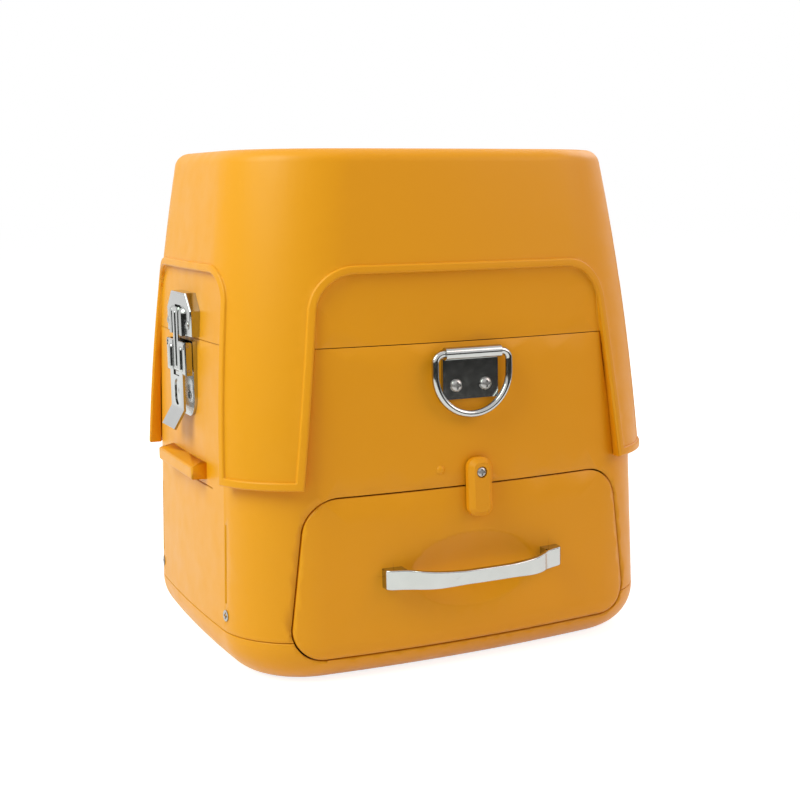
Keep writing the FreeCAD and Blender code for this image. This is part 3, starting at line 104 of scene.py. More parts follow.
# Noise of the finishes, its scales in ripples per metre
CLOUD_DETAIL = 3.0
GLOSS_DETAIL = 4.0
FINE_DETAIL = 2.0
NOISE_LOW = 0.3
NOISE_HIGH = 0.7
PLASTIC_CLOUD = 5.0
PLASTIC_GLOSS = 70.0
PLASTIC_GRAIN = 1400.0
METAL_CLOUD = 60.0
METAL_GLOSS = 180.0
METAL_MARKS = (260.0, 260.0, 3600.0)
RUBBER_CLOUD = 40.0
RUBBER_GLOSS = 120.0
CARD_CLOUD = 8.0

# Finishes: colours, roughness and depth of marks in metres
GLOSS_DROP = 0.04
GLOSS_RISE = 0.05
GRAIN_STRENGTH = 0.35
PLASTIC_SPECULAR = 0.26
DARK_PLASTIC = (0.035, 0.034, 0.033)
DARK_PLASTIC_SHADE = (0.025, 0.025, 0.026)
DARK_PLASTIC_ROUGHNESS = 0.55
METAL_DEEP_SHARE = 0.86
METAL_GLOSS_SHARES = (0.7, 1.4)
MARK_STRENGTH = 0.2
CHROME_SCRATCH = 0.000004
STEEL_SCRATCH = 0.00001
RUBBER_COLOUR = (0.018, 0.014, 0.012)
RUBBER_LIGHT_SHARE = 1.5
RUBBER_ROUGHNESS = (0.72, 0.88)
CARD_COLOUR = (0.02, 0.02, 0.02)
CARD_SHADE = (0.03, 0.03, 0.03)
CARD_ROUGHNESS = 0.9

# Sockets of the colour Mix node
MIX_LIGHT = 6
MIX_DEEP = 7
MIX_RESULT = 2

# Spread of the nodes in a tree's editor
NODE_COLUMNS = 8
NODE_WIDTH = 220
NODE_HEIGHT = 260

# Lamps: name, setting of the power, size, place and tint. They all face one point
LAMPS = (
    ("key", "key_power", 1.3, (-1.45, -0.25, 1.5), (0.84, 1.0, 0.88)),
    ("fill", "fill_power", 1.4, (1.6, -1.3, 1.4), (1.0, 0.84, 0.78)),
    ("top", "top_power", 1.2, (0.0, 0.1, 1.7), (1.0, 1.0, 1.0)),
    ("rim", "rim_power", 1.0, (1.35, 0.55, 1.25), (1.0, 1.0, 1.0)),
)
LAMP_TARGET = (0.0, 0.0, 0.18)

# Dark cards: name and the headings in degrees between which each bends round the case
CARDS = (("front_card", -105, 75), ("back_card", 120, 185))
CARD_STEPS = 24
CARD_LIFT = 0.002
CARD_INNER_SHARE = 0.55

# Floor: half its side in metres, its glow, and the share of its colour that takes the shadow
FLOOR_HALF = 12.0
FLOOR_GLOW = 0.84
FLOOR_SHADOW_SHARE = 0.6
SENSOR_WIDTH = 36.0


class CaseShellSettings(bpy.types.PropertyGroup):
    """Colour and surface of the moulded shells"""
    colour: FloatVectorProperty(
        name="Shell Colour", description="Colour of the moulded plastic", subtype="COLOR",
        size=3, min=0.0, max=1.0, default=(0.80, 0.320, 0.005))
    shade: FloatVectorProperty(
        name="Shell Shade", description="Slightly deeper colour that clouds the plastic", subtype="COLOR",
        size=3, min=0.0, max=1.0, default=(0.76, 0.293, 0.004))
    roughness: FloatProperty(
        name="Roughness", description="Mean roughness of the satin surface", min=0.0, max=1.0, default=0.40)
    grain: FloatProperty(
        name="Grain", description="Depth of the moulded grain", subtype="DISTANCE", unit="LENGTH",
        min=0.0, max=0.001, default=0.00002)
    sharp_angle: FloatProperty(
        name="Sharp Angle", description="Edges sharper than this stay crisp", subtype="ANGLE",
        min=0.0, max=math.pi, default=math.radians(62))
    bevel_angle: FloatProperty(
        name="Bevel Angle", description="Edges of the bevelled turn button sharper than this stay crisp",
        subtype="ANGLE", min=0.0, max=math.pi, default=math.radians(28))


class CaseMetalSettings(bpy.types.PropertyGroup):
    """Colour and surface of the plated hardware"""
    chrome: FloatVectorProperty(
        name="Chrome Colour", description="Colour of the bright plating", subtype="COLOR",
        size=3, min=0.0, max=1.0, default=(0.50, 0.505, 0.495))
    chrome_roughness: FloatProperty(
        name="Chrome Roughness", description="Mean roughness of the bright plating", min=0.0, max=1.0,
        default=0.12)
    steel: FloatVectorProperty(
        name="Steel Colour", description="Colour of screws, pins and rivets", subtype="COLOR",
        size=3, min=0.0, max=1.0, default=(0.42, 0.41, 0.40))
    steel_roughness: FloatProperty(
        name="Steel Roughness", description="Mean roughness of screws, pins and rivets", min=0.0, max=1.0,
        default=0.30)
    sharp_angle: FloatProperty(
        name="Sharp Angle", description="Edges sharper than this stay crisp", subtype="ANGLE",
        min=0.0, max=math.pi, default=math.radians(24))
    pull_end_reach: FloatProperty(
        name="Pull End Reach", description="Length of the pull's ends that runs down to the drawer",
        subtype="DISTANCE", unit="LENGTH", min=0.001, max=0.06, default=0.06)
    pull_end_depth: FloatProperty(
        name="Pull End Depth", description="Share of its depth that the pull keeps at its ends",
        min=0.1, max=1.0, default=0.6)


class CaseScrewSettings(bpy.types.PropertyGroup):
    """Sizes of the screws and rivets"""
    recess_length: FloatProperty(
        name="Recess Length", description="Length of the cross recess, as a share of the head",
        min=0.1, max=1.0, default=0.62)
    recess_width: FloatProperty(
        name="Recess Width", description="Width of the cross recess, as a share of the head",
        min=0.05, max=0.5, default=0.17)
    recess_depth: FloatProperty(
        name="Recess Depth", description="Depth of the cross recess", subtype="DISTANCE", unit="LENGTH",
        min=0.0, max=0.005, default=0.0011)
    sides: IntProperty(name="Sides", description="Sides of a round head", min=8, max=96, default=40)


class CaseStageSettings(bpy.types.PropertyGroup):
    """Camera, lamps and floor"""
    lens: FloatProperty(
        name="Lens", description="Focal length of the camera in millimetres",
        min=10.0, max=300.0, default=63.13)
    camera_place: FloatVectorProperty(
        name="Camera Place", description="Where the camera stands", subtype="TRANSLATION", unit="LENGTH",
        size=3, default=(-0.42543, -0.98789, 0.33367))
    heading: FloatProperty(
        name="Heading", description="Turn of the camera from the case's front", subtype="ANGLE",
        default=math.radians(27.19))
    pitch: FloatProperty(
        name="Pitch", description="How far the camera looks down", subtype="ANGLE",
        default=math.radians(8.74))
    roll: FloatProperty(
        name="Roll", description="Tilt of the camera about its view", subtype="ANGLE",
        default=math.radians(-0.49))
    shift: FloatProperty(
        name="Shift", description="Sideways shift of the picture", min=-1.0, max=1.0, default=-0.1062)
    floor_colour: FloatVectorProperty(
        name="Floor Colour", description="Colour of the floor", subtype="COLOR",
        size=3, min=0.0, max=1.0, default=(0.88, 0.88, 0.88))
    key_power: FloatProperty(
        name="Key Power", description="Power of the large lamp on the left", subtype="POWER", unit="POWER",
        min=0.0, default=36.0)
    fill_power: FloatProperty(
        name="Fill Power", description="Power of the soft lamp on the front right", subtype="POWER",
        unit="POWER", min=0.0, default=17.0)
    top_power: FloatProperty(
        name="Top Power", description="Power of the soft lamp above", subtype="POWER", unit="POWER",
        min=0.0, default=2.5)
    rim_power: FloatProperty(
        name="Rim Power", description="Power of the soft lamp behind on the right", subtype="POWER",
        unit="POWER", min=0.0, default=6.5)
    ambient: FloatProperty(
        name="Ambient", description="Strength of the even light from all round", min=0.0, default=0.30)
    card_radius: FloatProperty(
        name="Card Radius", description="Distance of the dark cards that the plating mirrors",
        subtype="DISTANCE", unit="LENGTH", min=0.5, max=10.0, default=1.7)
    card_height: FloatProperty(
        name="Card Height", description="Height of the dark cards that the plating mirrors",
        subtype="DISTANCE", unit="LENGTH", min=0.0, max=3.0, default=0.34)


class CarryingCaseSettings(bpy.types.PropertyGroup):
    """All settings of the carrying case"""
    shell: PointerProperty(type=CaseShellSettings)
    metal: PointerProperty(type=CaseMetalSettings)
    screws: PointerProperty(type=CaseScrewSettings)
    stage: PointerProperty(type=CaseStageSettings)


def record_body(node):
    """Body that carries a node."""
    for body, nodes in frame["record"]["behaviour"]["bodies"].items():
        if node in nodes:
            return body
    raise RuntimeError("no body carries " + node)


def record_slot(node):
    """Material slot of a node in the record."""
    for part in frame["record"]["subparts"]:
        if part["node"] == node:
            return part["material_slot"]
    raise RuntimeError("no slot for " + node)


class Graph:
    """Short way to add and link the nodes of one tree."""

    def __init__(self, tree):
        self.tree = tree
        self.count = 0

    def add(self, kind, values=None, **settings):
        node = self.tree.nodes.new(kind)
        row, column = divmod(self.count, NODE_COLUMNS)
        node.location = (NODE_WIDTH * column, -NODE_HEIGHT * row)
        self.count += 1
        for name, value in settings.items():
            setattr(node, name, value)
        for socket, value in (values or {}).items():
            if isinstance(value, bpy.types.NodeSocket):
                self.tree.links.new(value, node.inputs[socket])
            else:
                node.inputs[socket].default_value = value
        return node

    def link(self, output, socket):
        self.tree.links.new(output, socket)


def fresh_material(name):
    """Empty node material, its graph and its shader."""
    material = bpy.data.materials.new(name)
    material.use_nodes = True
    material.node_tree.nodes.clear()
    graph = Graph(material.node_tree)
    shader = graph.add("ShaderNodeBsdfPrincipled")
    output = graph.add("ShaderNodeOutputMaterial")
    graph.link(shader.outputs["BSDF"], output.inputs["Surface"])
    return material, graph, shader


def rgba(colour):
    """Opaque colour with four values."""
    return (colour[0], colour[1], colour[2], 1.0)


def clouded_colour(graph, place, light, deep, scale):
    """Colour that drifts between two tones over the piece."""
    noise = graph.add("ShaderNodeTexNoise", {"Vector": place, "Scale": scale, "Detail": CLOUD_DETAIL})
    mix = graph.add("ShaderNodeMix", {"Factor": noise.outputs["Fac"]}, data_type="RGBA")
    mix.inputs[MIX_LIGHT].default_value = rgba(light)
    mix.inputs[MIX_DEEP].default_value = rgba(deep)
    return mix.outputs[MIX_RESULT]


def uneven(graph, place, scale, low, high):
    """Number that drifts between two values over the piece."""
    noise = graph.add("ShaderNodeTexNoise", {"Vector": place, "Scale": scale, "Detail": GLOSS_DETAIL})
    spread = graph.add("ShaderNodeMapRange", {"Value": noise.outputs["Fac"], "From Min": NOISE_LOW,
                                              "From Max": NOISE_HIGH, "To Min": low, "To Max": high})
    return spread.outputs["Result"]


def moulded_plastic(name, light, deep, roughness, grain):
    """Satin moulded plastic with a fine grain and soft clouding."""
    material, graph, shader = fresh_material(name)
    place = graph.add("ShaderNodeTexCoord").outputs["Object"]
    graph.link(clouded_colour(graph, place, light, deep, PLASTIC_CLOUD), shader.inputs["Base Color"])
    gloss = uneven(graph, place, PLASTIC_GLOSS, roughness - GLOSS_DROP, roughness + GLOSS_RISE)
    graph.link(gloss, shader.inputs["Roughness"])
    fine = graph.add("ShaderNodeTexNoise", {"Vector": place, "Scale": PLASTIC_GRAIN, "Detail": FINE_DETAIL})
    bump = graph.add("ShaderNodeBump", {"Height": fine.outputs["Fac"], "Strength": GRAIN_STRENGTH,
                                        "Distance": grain})
    graph.link(bump.outputs["Normal"], shader.inputs["Normal"])
    shader.inputs["Specular IOR Level"].default_value = PLASTIC_SPECULAR
    return material


def plated_metal(name, colour, roughness, scratch):
    """Plated metal with faint polishing marks and uneven gloss."""
    material, graph, shader = fresh_material(name)
    place = graph.add("ShaderNodeTexCoord").outputs["Object"]
    deep = [c * METAL_DEEP_SHARE for c in colour]
    graph.link(clouded_colour(graph, place, colour, deep, METAL_CLOUD), shader.inputs["Base Color"])
    low, high = [roughness * share for share in METAL_GLOSS_SHARES]
    graph.link(uneven(graph, place, METAL_GLOSS, low, high), shader.inputs["Roughness"])
    stretch = graph.add("ShaderNodeMapping", {"Vector": place, "Scale": METAL_MARKS})
    marks = graph.add("ShaderNodeTexNoise", {"Vector": stretch.outputs["Vector"], "Scale": 1.0,
                                             "Detail": FINE_DETAIL})
    bump = graph.add("ShaderNodeBump", {"Height": marks.outputs["Fac"], "Strength": MARK_STRENGTH,
                                        "Distance": scratch})
    graph.link(bump.outputs["Normal"], shader.inputs["Normal"])
    shader.inputs["Metallic"].default_value = 1.0
    return material


def soft_rubber(name, colour):
    """Matt rubber of the rim's seal."""
    material, graph, shader = fresh_material(name)
    place = graph.add("ShaderNodeTexCoord").outputs["Object"]
    light = [c * RUBBER_LIGHT_SHARE for c in colour]
    graph.link(clouded_colour(graph, place, colour, light, RUBBER_CLOUD), shader.inputs["Base Color"])
    graph.link(uneven(graph, place, RUBBER_GLOSS, *RUBBER_ROUGHNESS), shader.inputs["Roughness"])
    return material


def finish(name):
    """Material by name, made on first use from the scene's settings."""
    if name in bpy.data.materials:
        return bpy.data.materials[name]
    shell = bpy.context.scene.carrying_case.shell
    metal = bpy.context.scene.carrying_case.metal
    if name == "amber_plastic":
        return moulded_plastic(name, shell.colour, shell.shade, shell.roughness, shell.grain)
    if name == "dark_plastic":
        return moulded_plastic(name, DARK_PLASTIC, DARK_PLASTIC_SHADE, DARK_PLASTIC_ROUGHNESS, shell.grain)
    if name == "bright_chrome":
        return plated_metal(name, metal.chrome, metal.chrome_roughness, CHROME_SCRATCH)
    if name == "screw_steel":
        return plated_metal(name, metal.steel, metal.steel_roughness, STEEL_SCRATCH)
    if name == "seal_rubber":
        return soft_rubber(name, RUBBER_COLOUR)
    raise RuntimeError("no finish called " + name)


def clean(bm):
    """Join doubled points and drop needle faces."""
    bmesh.ops.remove_doubles(bm, verts=bm.verts, dist=MERGE_DISTANCE)
    bmesh.ops.dissolve_degenerate(bm, edges=bm.edges, dist=MERGE_DISTANCE)


def merged_mesh(node):
    """Copy of a node's mesh with its loose triangles joined."""
    bm = bmesh.new()
    bm.from_mesh(frame["nodes"][node].data)
    clean(bm)
    return bm


def place_piece(name, mesh, material, body, slot, *nodes):
    """Object for a finished mesh that rides on a body and stands for nodes."""
    mesh.materials.clear()
    mesh.materials.append(material)
    piece = bpy.data.objects.new(name, mesh)
    bpy.context.scene.collection.objects.link(piece)
    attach(piece, body)
    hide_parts(*nodes)
    return piece


def even_shading(name, mesh):
    """Mesh whose normals follow its larger faces, so that narrow rounds read as rounds."""
    carrier = bpy.data.objects.new(name + "_carrier", mesh)
    bpy.context.scene.collection.objects.link(carrier)
    modifier = carrier.modifiers.new("normals", "WEIGHTED_NORMAL")
    modifier.mode = "FACE_AREA"
    modifier.weight = NORMAL_WEIGHT
    modifier.keep_sharp = True
    graph = bpy.context.evaluated_depsgraph_get()
    shaded = bpy.data.meshes.new_from_object(carrier.evaluated_get(graph))
    bpy.data.objects.remove(carrier)
    bpy.data.meshes.remove(mesh)
    shaded.name = name
    return shaded


def draw_in_ends(bm):
    """Draw the pull's ends in, so that its strap runs down to the drawer."""
    metal = bpy.context.scene.carrying_case.metal
    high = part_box("drawer_handle")[1]
    for row in range(1, PULL_ROWS + 1):
        for side in (-1, 1):
            place = side * (high[0] - metal.pull_end_reach * row / PULL_ROWS)
            geometry = bm.verts[:] + bm.edges[:] + bm.faces[:]
            bmesh.ops.bisect_plane(bm, geom=geometry, dist=PULL_SNAP, plane_co=(place, 0.0, 0.0),
                                   plane_no=(1.0, 0.0, 0.0))
    clean(bm)
    for vert in bm.verts:
        share = max(0.0, abs(vert.co.x) - high[0] + metal.pull_end_reach) / metal.pull_end_reach
        depth = (high[1] - vert.co.y) * (1.0 - (1.0 - metal.pull_end_depth) * share * share)
        vert.co.y = high[1] - depth


def smooth_piece(node, material, angle, join_flats=False, reshape=None):
    """Smoothly shaded piece that stands for one node, reshaped and with whole flat faces where asked."""
    bm = merged_mesh(node)
    if reshape:
        reshape(bm)
    if join_flats:
        bmesh.ops.dissolve_limit(bm, angle_limit=FLAT_ANGLE, verts=bm.verts, edges=bm.edges)
    mesh = bpy.data.meshes.new(node + "_skin")
    bm.to_mesh(mesh)
    bm.free()
    mesh.shade_smooth()
    mesh.set_sharp_from_angle(angle=angle)
    mesh = even_shading(node + "_skin", mesh)
    return place_piece(node + "_skin", mesh, material, record_body(node), record_slot(node), node)


def node_islands(node):
    """Separate solids of a node, each as a list of its points."""
    bm = merged_mesh(node)
    seen = set()
    islands = []
    for start in bm.verts:
        if start in seen:
            continue
        seen.add(start)
        stack = [start]
        points = []
        while stack:
            vert = stack.pop()
            points.append(vert.co.copy())
            for edge in vert.link_edges:
                other = edge.other_vert(vert)
                if other not in seen:
                    seen.add(other)
                    stack.append(other)
        islands.append(points)
    bm.free()
    return islands


def fastener_spots(node, outward, head_height, centre=None):
    """Where each fastener's head seats: its place, its direction and its shank's length."""
    spots = []
    for points in node_islands(node):
        low = Vector([min(p[i] for p in points) for i in range(3)])
        high = Vector([max(p[i] for p in points) for i in range(3)])
        middle = centre or (low + high) / 2
        axis = outward(middle)
        top = max(p.dot(axis) for p in points)
        bottom = min(p.dot(axis) for p in points)
        seat = top - head_height
        spots.append((middle + axis * (seat - middle.dot(axis)), axis, seat - bottom))
    return spots


def turned_to_wall(spots, wall, reach, proud, head_height):
    """Spots turned square to a curved wall, their heads standing a little proud of it."""
    bm = merged_mesh(wall)
    surface = BVHTree.FromBMesh(bm)
    bm.free()
    turned = []
    for place, way, length in spots:
        hits = []
        for dy, dz in ((reach, 0.0), (-reach, 0.0), (0.0, reach), (0.0, -reach)):
            start = place + Vector((0.0, dy, dz)) + way * FEELER_START
            point, normal = surface.ray_cast(start, -way)[:2]
            if point is None:
                raise RuntimeError("no wall beside a screw on " + wall)
            hits.append((point, normal))
        normal = sum((h[1] for h in hits), Vector()).normalized()
        point = sum((h[0] for h in hits), Vector()) / len(hits)
        turned.append((point + normal * (proud - head_height), normal, length))
    return turned


def new_tree(name, inputs):
    """Geometry tree with a mesh in, a mesh out and named number inputs."""
    tree = bpy.data.node_groups.new(name, "GeometryNodeTree")
    tree.interface.new_socket("Geometry", in_out="INPUT", socket_type="NodeSocketGeometry")
    for label, kind in inputs:
        tree.interface.new_socket(label, in_out="INPUT", socket_type=kind)
    tree.interface.new_socket("Geometry", in_out="OUTPUT", socket_type="NodeSocketGeometry")
    return tree


FASTENER_INPUTS = (("Head Radius", "NodeSocketFloat"), ("Head Height", "NodeSocketFloat"),
                   ("Shank Radius", "NodeSocketFloat"), ("Recess Length", "NodeSocketFloat"),
                   ("Recess Width", "NodeSocketFloat"), ("Recess Depth", "NodeSocketFloat"),
                   ("Sides", "NodeSocketInt"), ("Finish", "NodeSocketMaterial"))


def maths(graph, operation, a, b):
    """Result of a sum on two numbers."""
    return graph.add("ShaderNodeMath", {0: a, 1: b}, operation=operation).outputs[0]


def moved(graph, geometry, z=0.0, scale=None):
    """Geometry moved along Z, and scaled where a scale is given."""
    place = graph.add("ShaderNodeCombineXYZ", {"Z": z}).outputs[0]
    values = {"Geometry": geometry, "Translation": place}
    if scale is not None:
        values["Scale"] = scale
    return graph.add("GeometryNodeTransform", values).outputs[0]


def domed_head(graph, source):
    """Round head: a squat ball trimmed by a drum."""
    radius = source.outputs["Head Radius"]
    height = source.outputs["Head Height"]
    ball = graph.add("GeometryNodeMeshUVSphere", {"Segments": source.outputs["Sides"], "Rings": DOME_RINGS,
                                                  "Radius": 1.0})
    wide = maths(graph, "MULTIPLY", radius, DOME_WIDTH)
    tall = maths(graph, "MULTIPLY", height, DOME_HEIGHT)
    squat = graph.add("ShaderNodeCombineXYZ", {"X": wide, "Y": wide, "Z": tall}).outputs[0]
    ball = moved(graph, ball.outputs["Mesh"], scale=squat)
    drum = graph.add("GeometryNodeMeshCylinder", {"Vertices": source.outputs["Sides"], "Radius": radius,
                                                  "Depth": height})
    drum = moved(graph, drum.outputs["Mesh"], z=maths(graph, "MULTIPLY", height, 0.5))
    head = graph.add("GeometryNodeMeshBoolean", operation="INTERSECT")
    graph.link(ball, head.inputs["Mesh 2"])
    graph.link(drum, head.inputs["Mesh 2"])
    return head.outputs["Mesh"]


def sunk_head(graph, source):
    """Flush cone head whose top lies at its height."""
    cone = graph.add("GeometryNodeMeshCone", {"Vertices": source.outputs["Sides"],
                                              "Radius Top": source.outputs["Head Radius"],
                                              "Radius Bottom": source.outputs["Shank Radius"],
                                              "Depth": source.outputs["Head Height"]})
    return cone.outputs["Mesh"]


def crossed(graph, source, head):
    """Head with a cross recess in its top."""
    radius = source.outputs["Head Radius"]
    across = maths(graph, "MULTIPLY", radius, 2.0)
    long = maths(graph, "MULTIPLY", across, source.outputs["Recess Length"])
    wide = maths(graph, "MULTIPLY", across, source.outputs["Recess Width"])
    deep = maths(graph, "MULTIPLY", source.outputs["Recess Depth"], 2.0)
    cut = graph.add("GeometryNodeMeshBoolean", {"Mesh 1": head}, operation="DIFFERENCE")
    shallow = maths(graph, "MULTIPLY", deep, SECOND_SLOT)
    for x, y, z in ((long, wide, deep), (wide, long, shallow)):
        size = graph.add("ShaderNodeCombineXYZ", {"X": x, "Y": y, "Z": z}).outputs[0]
        bar = graph.add("GeometryNodeMeshCube", {"Size": size}).outputs["Mesh"]
        graph.link(moved(graph, bar, z=source.outputs["Head Height"]), cut.inputs["Mesh 2"])
    return cut.outputs["Mesh"]


def fastener_tree(name, head_maker, with_recess):
    """Tree that sets a head and a shank on each point along its outward direction."""
    tree = new_tree(name, FASTENER_INPUTS)
    graph = Graph(tree)
    source = graph.add("NodeGroupInput")
    head = head_maker(graph, source)
    if with_recess:
        head = crossed(graph, source, head)
    way = graph.add("GeometryNodeInputNamedAttribute", {"Name": "outward"}, data_type="FLOAT_VECTOR")
    turn = graph.add("FunctionNodeAlignRotationToVector", {"Vector": way.outputs["Attribute"]}, axis="Z")
    points = source.outputs["Geometry"]
    heads = graph.add("GeometryNodeInstanceOnPoints", {"Points": points, "Instance": head,
                                                       "Rotation": turn.outputs["Rotation"]})
    shank = graph.add("GeometryNodeMeshCylinder", {"Vertices": source.outputs["Sides"],
                                                   "Radius": source.outputs["Shank Radius"], "Depth": 1.0})
    shank = moved(graph, shank.outputs["Mesh"], z=SHANK_MIDDLE)
    length = graph.add("GeometryNodeInputNamedAttribute", {"Name": "shank"}, data_type="FLOAT")
    stretch = graph.add("ShaderNodeCombineXYZ", {"X": 1.0, "Y": 1.0, "Z": length.outputs["Attribute"]})
    shanks = graph.add("GeometryNodeInstanceOnPoints", {"Points": points, "Instance": shank,
                                                        "Rotation": turn.outputs["Rotation"],
                                                        "Scale": stretch.outputs["Vector"]})
    both = graph.add("GeometryNodeJoinGeometry")
    graph.link(shanks.outputs["Instances"], both.inputs["Geometry"])
    graph.link(heads.outputs["Instances"], both.inputs["Geometry"])
    real = graph.add("GeometryNodeRealizeInstances", {"Geometry": both.outputs["Geometry"]})
    coated = graph.add("GeometryNodeSetMaterial", {"Geometry": real.outputs["Geometry"],
                                                   "Material": source.outputs["Finish"]})
    target = graph.add("NodeGroupOutput")
    graph.link(coated.outputs["Geometry"], target.inputs["Geometry"])
    return tree


def fastener_mesh(name, tree, spots, size):
    """Plain mesh of the fasteners of one size that a tree sets on some spots."""
    head_radius, head_height, shank_radius = size
    recess = bpy.context.scene.carrying_case.screws
    points = bpy.data.meshes.new(name + "_points")
    points.from_pydata([spot[0] for spot in spots], [], [])
    points.attributes.new("outward", "FLOAT_VECTOR", "POINT")
    points.attributes.new("shank", "FLOAT", "POINT")
    for i, (place, way, length) in enumerate(spots):
        points.attributes["outward"].data[i].vector = way
        points.attributes["shank"].data[i].value = length
    carrier = bpy.data.objects.new(name + "_points", points)
    bpy.context.scene.collection.objects.link(carrier)
    modifier = carrier.modifiers.new("fasteners", "NODES")
    modifier.node_group = tree
    values = {"Head Radius": head_radius, "Head Height": head_height, "Shank Radius": shank_radius,
              "Recess Length": recess.recess_length, "Recess Width": recess.recess_width,
              "Recess Depth": recess.recess_depth, "Sides": recess.sides, "Finish": finish("screw_steel")}
    for item in tree.interface.items_tree:
        if item.in_out == "INPUT" and item.name in values:
            modifier[item.identifier] = values[item.name]
    graph = bpy.context.evaluated_depsgraph_get()
    mesh = bpy.data.meshes.new_from_object(carrier.evaluated_get(graph))
    carrier.modifiers.remove(modifier)
    bpy.data.objects.remove(carrier)
    bm = bmesh.new()
    bm.from_mesh(mesh)
    clean(bm)
    bm.to_mesh(mesh)
    bm.free()
    mesh.name = name
    mesh.shade_smooth()
    mesh.set_sharp_from_angle(angle=FASTENER_SHARP)
    return mesh


class CASE_OT_shells(bpy.types.Operator):
    """Dress the moulded shells, the drawer and the turn button"""
    bl_idname = "case.shells"
    bl_label = "Moulded Shells"

    def execute(self, context):
        angle = context.scene.carrying_case.shell.sharp_angle
        for node in SHELL_NODES:
            smooth_piece(node, finish("amber_plastic"), angle)
        bevel_angle = context.scene.carrying_case.shell.bevel_angle
        smooth_piece("turn_button", finish("amber_plastic"), bevel_angle, join_flats=True)
        return {"FINISHED"}


class CASE_OT_inside(bpy.types.Operator):
    """Dress the deck, the drawer's runners and the rim's seal"""
    bl_idname = "case.inside"
    bl_label = "Inside Pieces"

    def execute(self, context):
        angle = context.scene.carrying_case.shell.sharp_angle
        for node in INSIDE_NODES:
            smooth_piece(node, finish("dark_plastic"), angle)
        smooth_piece("lid_gasket", finish("seal_rubber"), angle)
        return {"FINISHED"}


class CASE_OT_hardware(bpy.types.Operator):
    """Dress the pull, rings, latches and pins"""
    bl_idname = "case.hardware"
    bl_label = "Plated Hardware"

    def execute(self, context):
        angle = context.scene.carrying_case.metal.sharp_angle
        for node in CHROME_NODES:
            reshape = draw_in_ends if node == "drawer_handle" else None
            smooth_piece(node, finish("bright_chrome"), angle, join_flats=True, reshape=reshape)
        for node in STEEL_NODES:
            smooth_piece(node, finish("screw_steel"), angle, join_flats=True)
        return {"FINISHED"}


class CASE_OT_screws(bpy.types.Operator):
    """Set the screws of the body, the ring plates, the deck, the drawer and the turn button"""
    bl_idname = "case.screws"
    bl_label = "Screws"

    def execute(self, context):
        domed = fastener_tree("domed_screws", domed_head, True)
        sunk = fastener_tree("sunk_screws", sunk_head, True)
        button = next(j for j in frame["joints"] if j["name"] == "turn_button_turn")
        button_way = Vector(button["axis"]).normalized()
        rows = (
            ("front_ring_screws", domed, lambda p: Vector((0, -1, 0)), RING_SCREW),
            ("back_ring_screws", domed, lambda p: Vector((0, 1, 0)), RING_SCREW),
            ("base_screws", sunk, lambda p: Vector((math.copysign(1, p.x), 0, 0)), BASE_SCREW),
            ("deck_screws", sunk, lambda p: Vector((0, 0, 1)), SMALL_SCREW),
            ("runner_screws", domed, lambda p: Vector((0, 0, 1)), SMALL_SCREW),
            ("drawer_screws", domed, lambda p: Vector((0, 1, 0)), SMALL_SCREW),
            ("handle_screws", domed, lambda p: Vector((0, 1, 0)), HANDLE_SCREW),
            ("turn_button_screw", domed, lambda p: button_way, BUTTON_SCREW),
        )
        for node, tree, outward, size in rows:
            head_height = size[1]
            centre = Vector(button["pos_m"]) if node == "turn_button_screw" else None
            spots = fastener_spots(node, outward, head_height, centre)
            if node == "handle_screws":
                spots = [(place, way, length - HANDLE_SCREW_TRIM) for place, way, length in spots]
            if node == "base_screws":
                spots = turned_to_wall(spots, "body_shell", FEELER_REACH, HEAD_PROUD, head_height)
            mesh = fastener_mesh(node + "_set", tree, spots, size)
            steel = finish("screw_steel")
            place_piece(node + "_set", mesh, steel, record_body(node), record_slot(node), node)
        return {"FINISHED"}


class CASE_OT_rivets(bpy.types.Operator):
    """Set the rivets of the latch plates"""
    bl_idname = "case.rivets"
    bl_label = "Rivets"

    def execute(self, context):
        tree = fastener_tree("dome_rivets", domed_head, False)
        for side, way in (("left", -1), ("right", 1)):
            for node in (side + "_keeper_rivets", side + "_base_rivets"):
                spots = fastener_spots(node, lambda p, s=way: Vector((s, 0, 0)), RIVET[1])
                mesh = fastener_mesh(node + "_set", tree, spots, RIVET)
                steel = finish("screw_steel")
                place_piece(node + "_set", mesh, steel, record_body(node), record_slot(node), node)
        return {"FINISHED"}


def camera_matrix(stage):
    """World matrix of the camera from its heading, pitch and roll."""
    ahead = Vector((math.cos(stage.pitch) * math.sin(stage.heading),
                    math.cos(stage.pitch) * math.cos(stage.heading), -math.sin(stage.pitch)))
    level = Vector((math.cos(stage.heading), -math.sin(stage.heading), 0.0))
    upright = level.cross(ahead)
    right = level * math.cos(stage.roll) + upright * math.sin(stage.roll)
    up = upright * math.cos(stage.roll) - level * math.sin(stage.roll)
    matrix = Matrix.Identity(4)
    for row in range(3):
        matrix[row][0] = right[row]
        matrix[row][1] = up[row]
        matrix[row][2] = -ahead[row]
        matrix[row][3] = stage.camera_place[row]
    return matrix


def soft_lamp(name, power, size, place, tint):
    """Square area lamp that faces the lamps' target."""
    lamp = bpy.data.lights.new(name, "AREA")
    lamp.energy = power
    lamp.color = tint
    lamp.size = size
    holder = bpy.data.objects.new(name, lamp)
    holder.location = place
    holder.rotation_euler = (Vector(LAMP_TARGET) - Vector(place)).to_track_quat("-Z", "Y").to_euler()
    bpy.context.scene.collection.objects.link(holder)


def seen_directly(graph):
    """1 for rays that show the background: camera, mirror and glass rays."""
    path = graph.add("ShaderNodeLightPath")
    seen = maths(graph, "ADD", path.outputs["Is Camera Ray"], path.outputs["Is Glossy Ray"])
    return graph.add("ShaderNodeMath", {0: seen, 1: path.outputs["Is Transmission Ray"]}, operation="ADD",
                     use_clamp=True).outputs[0]


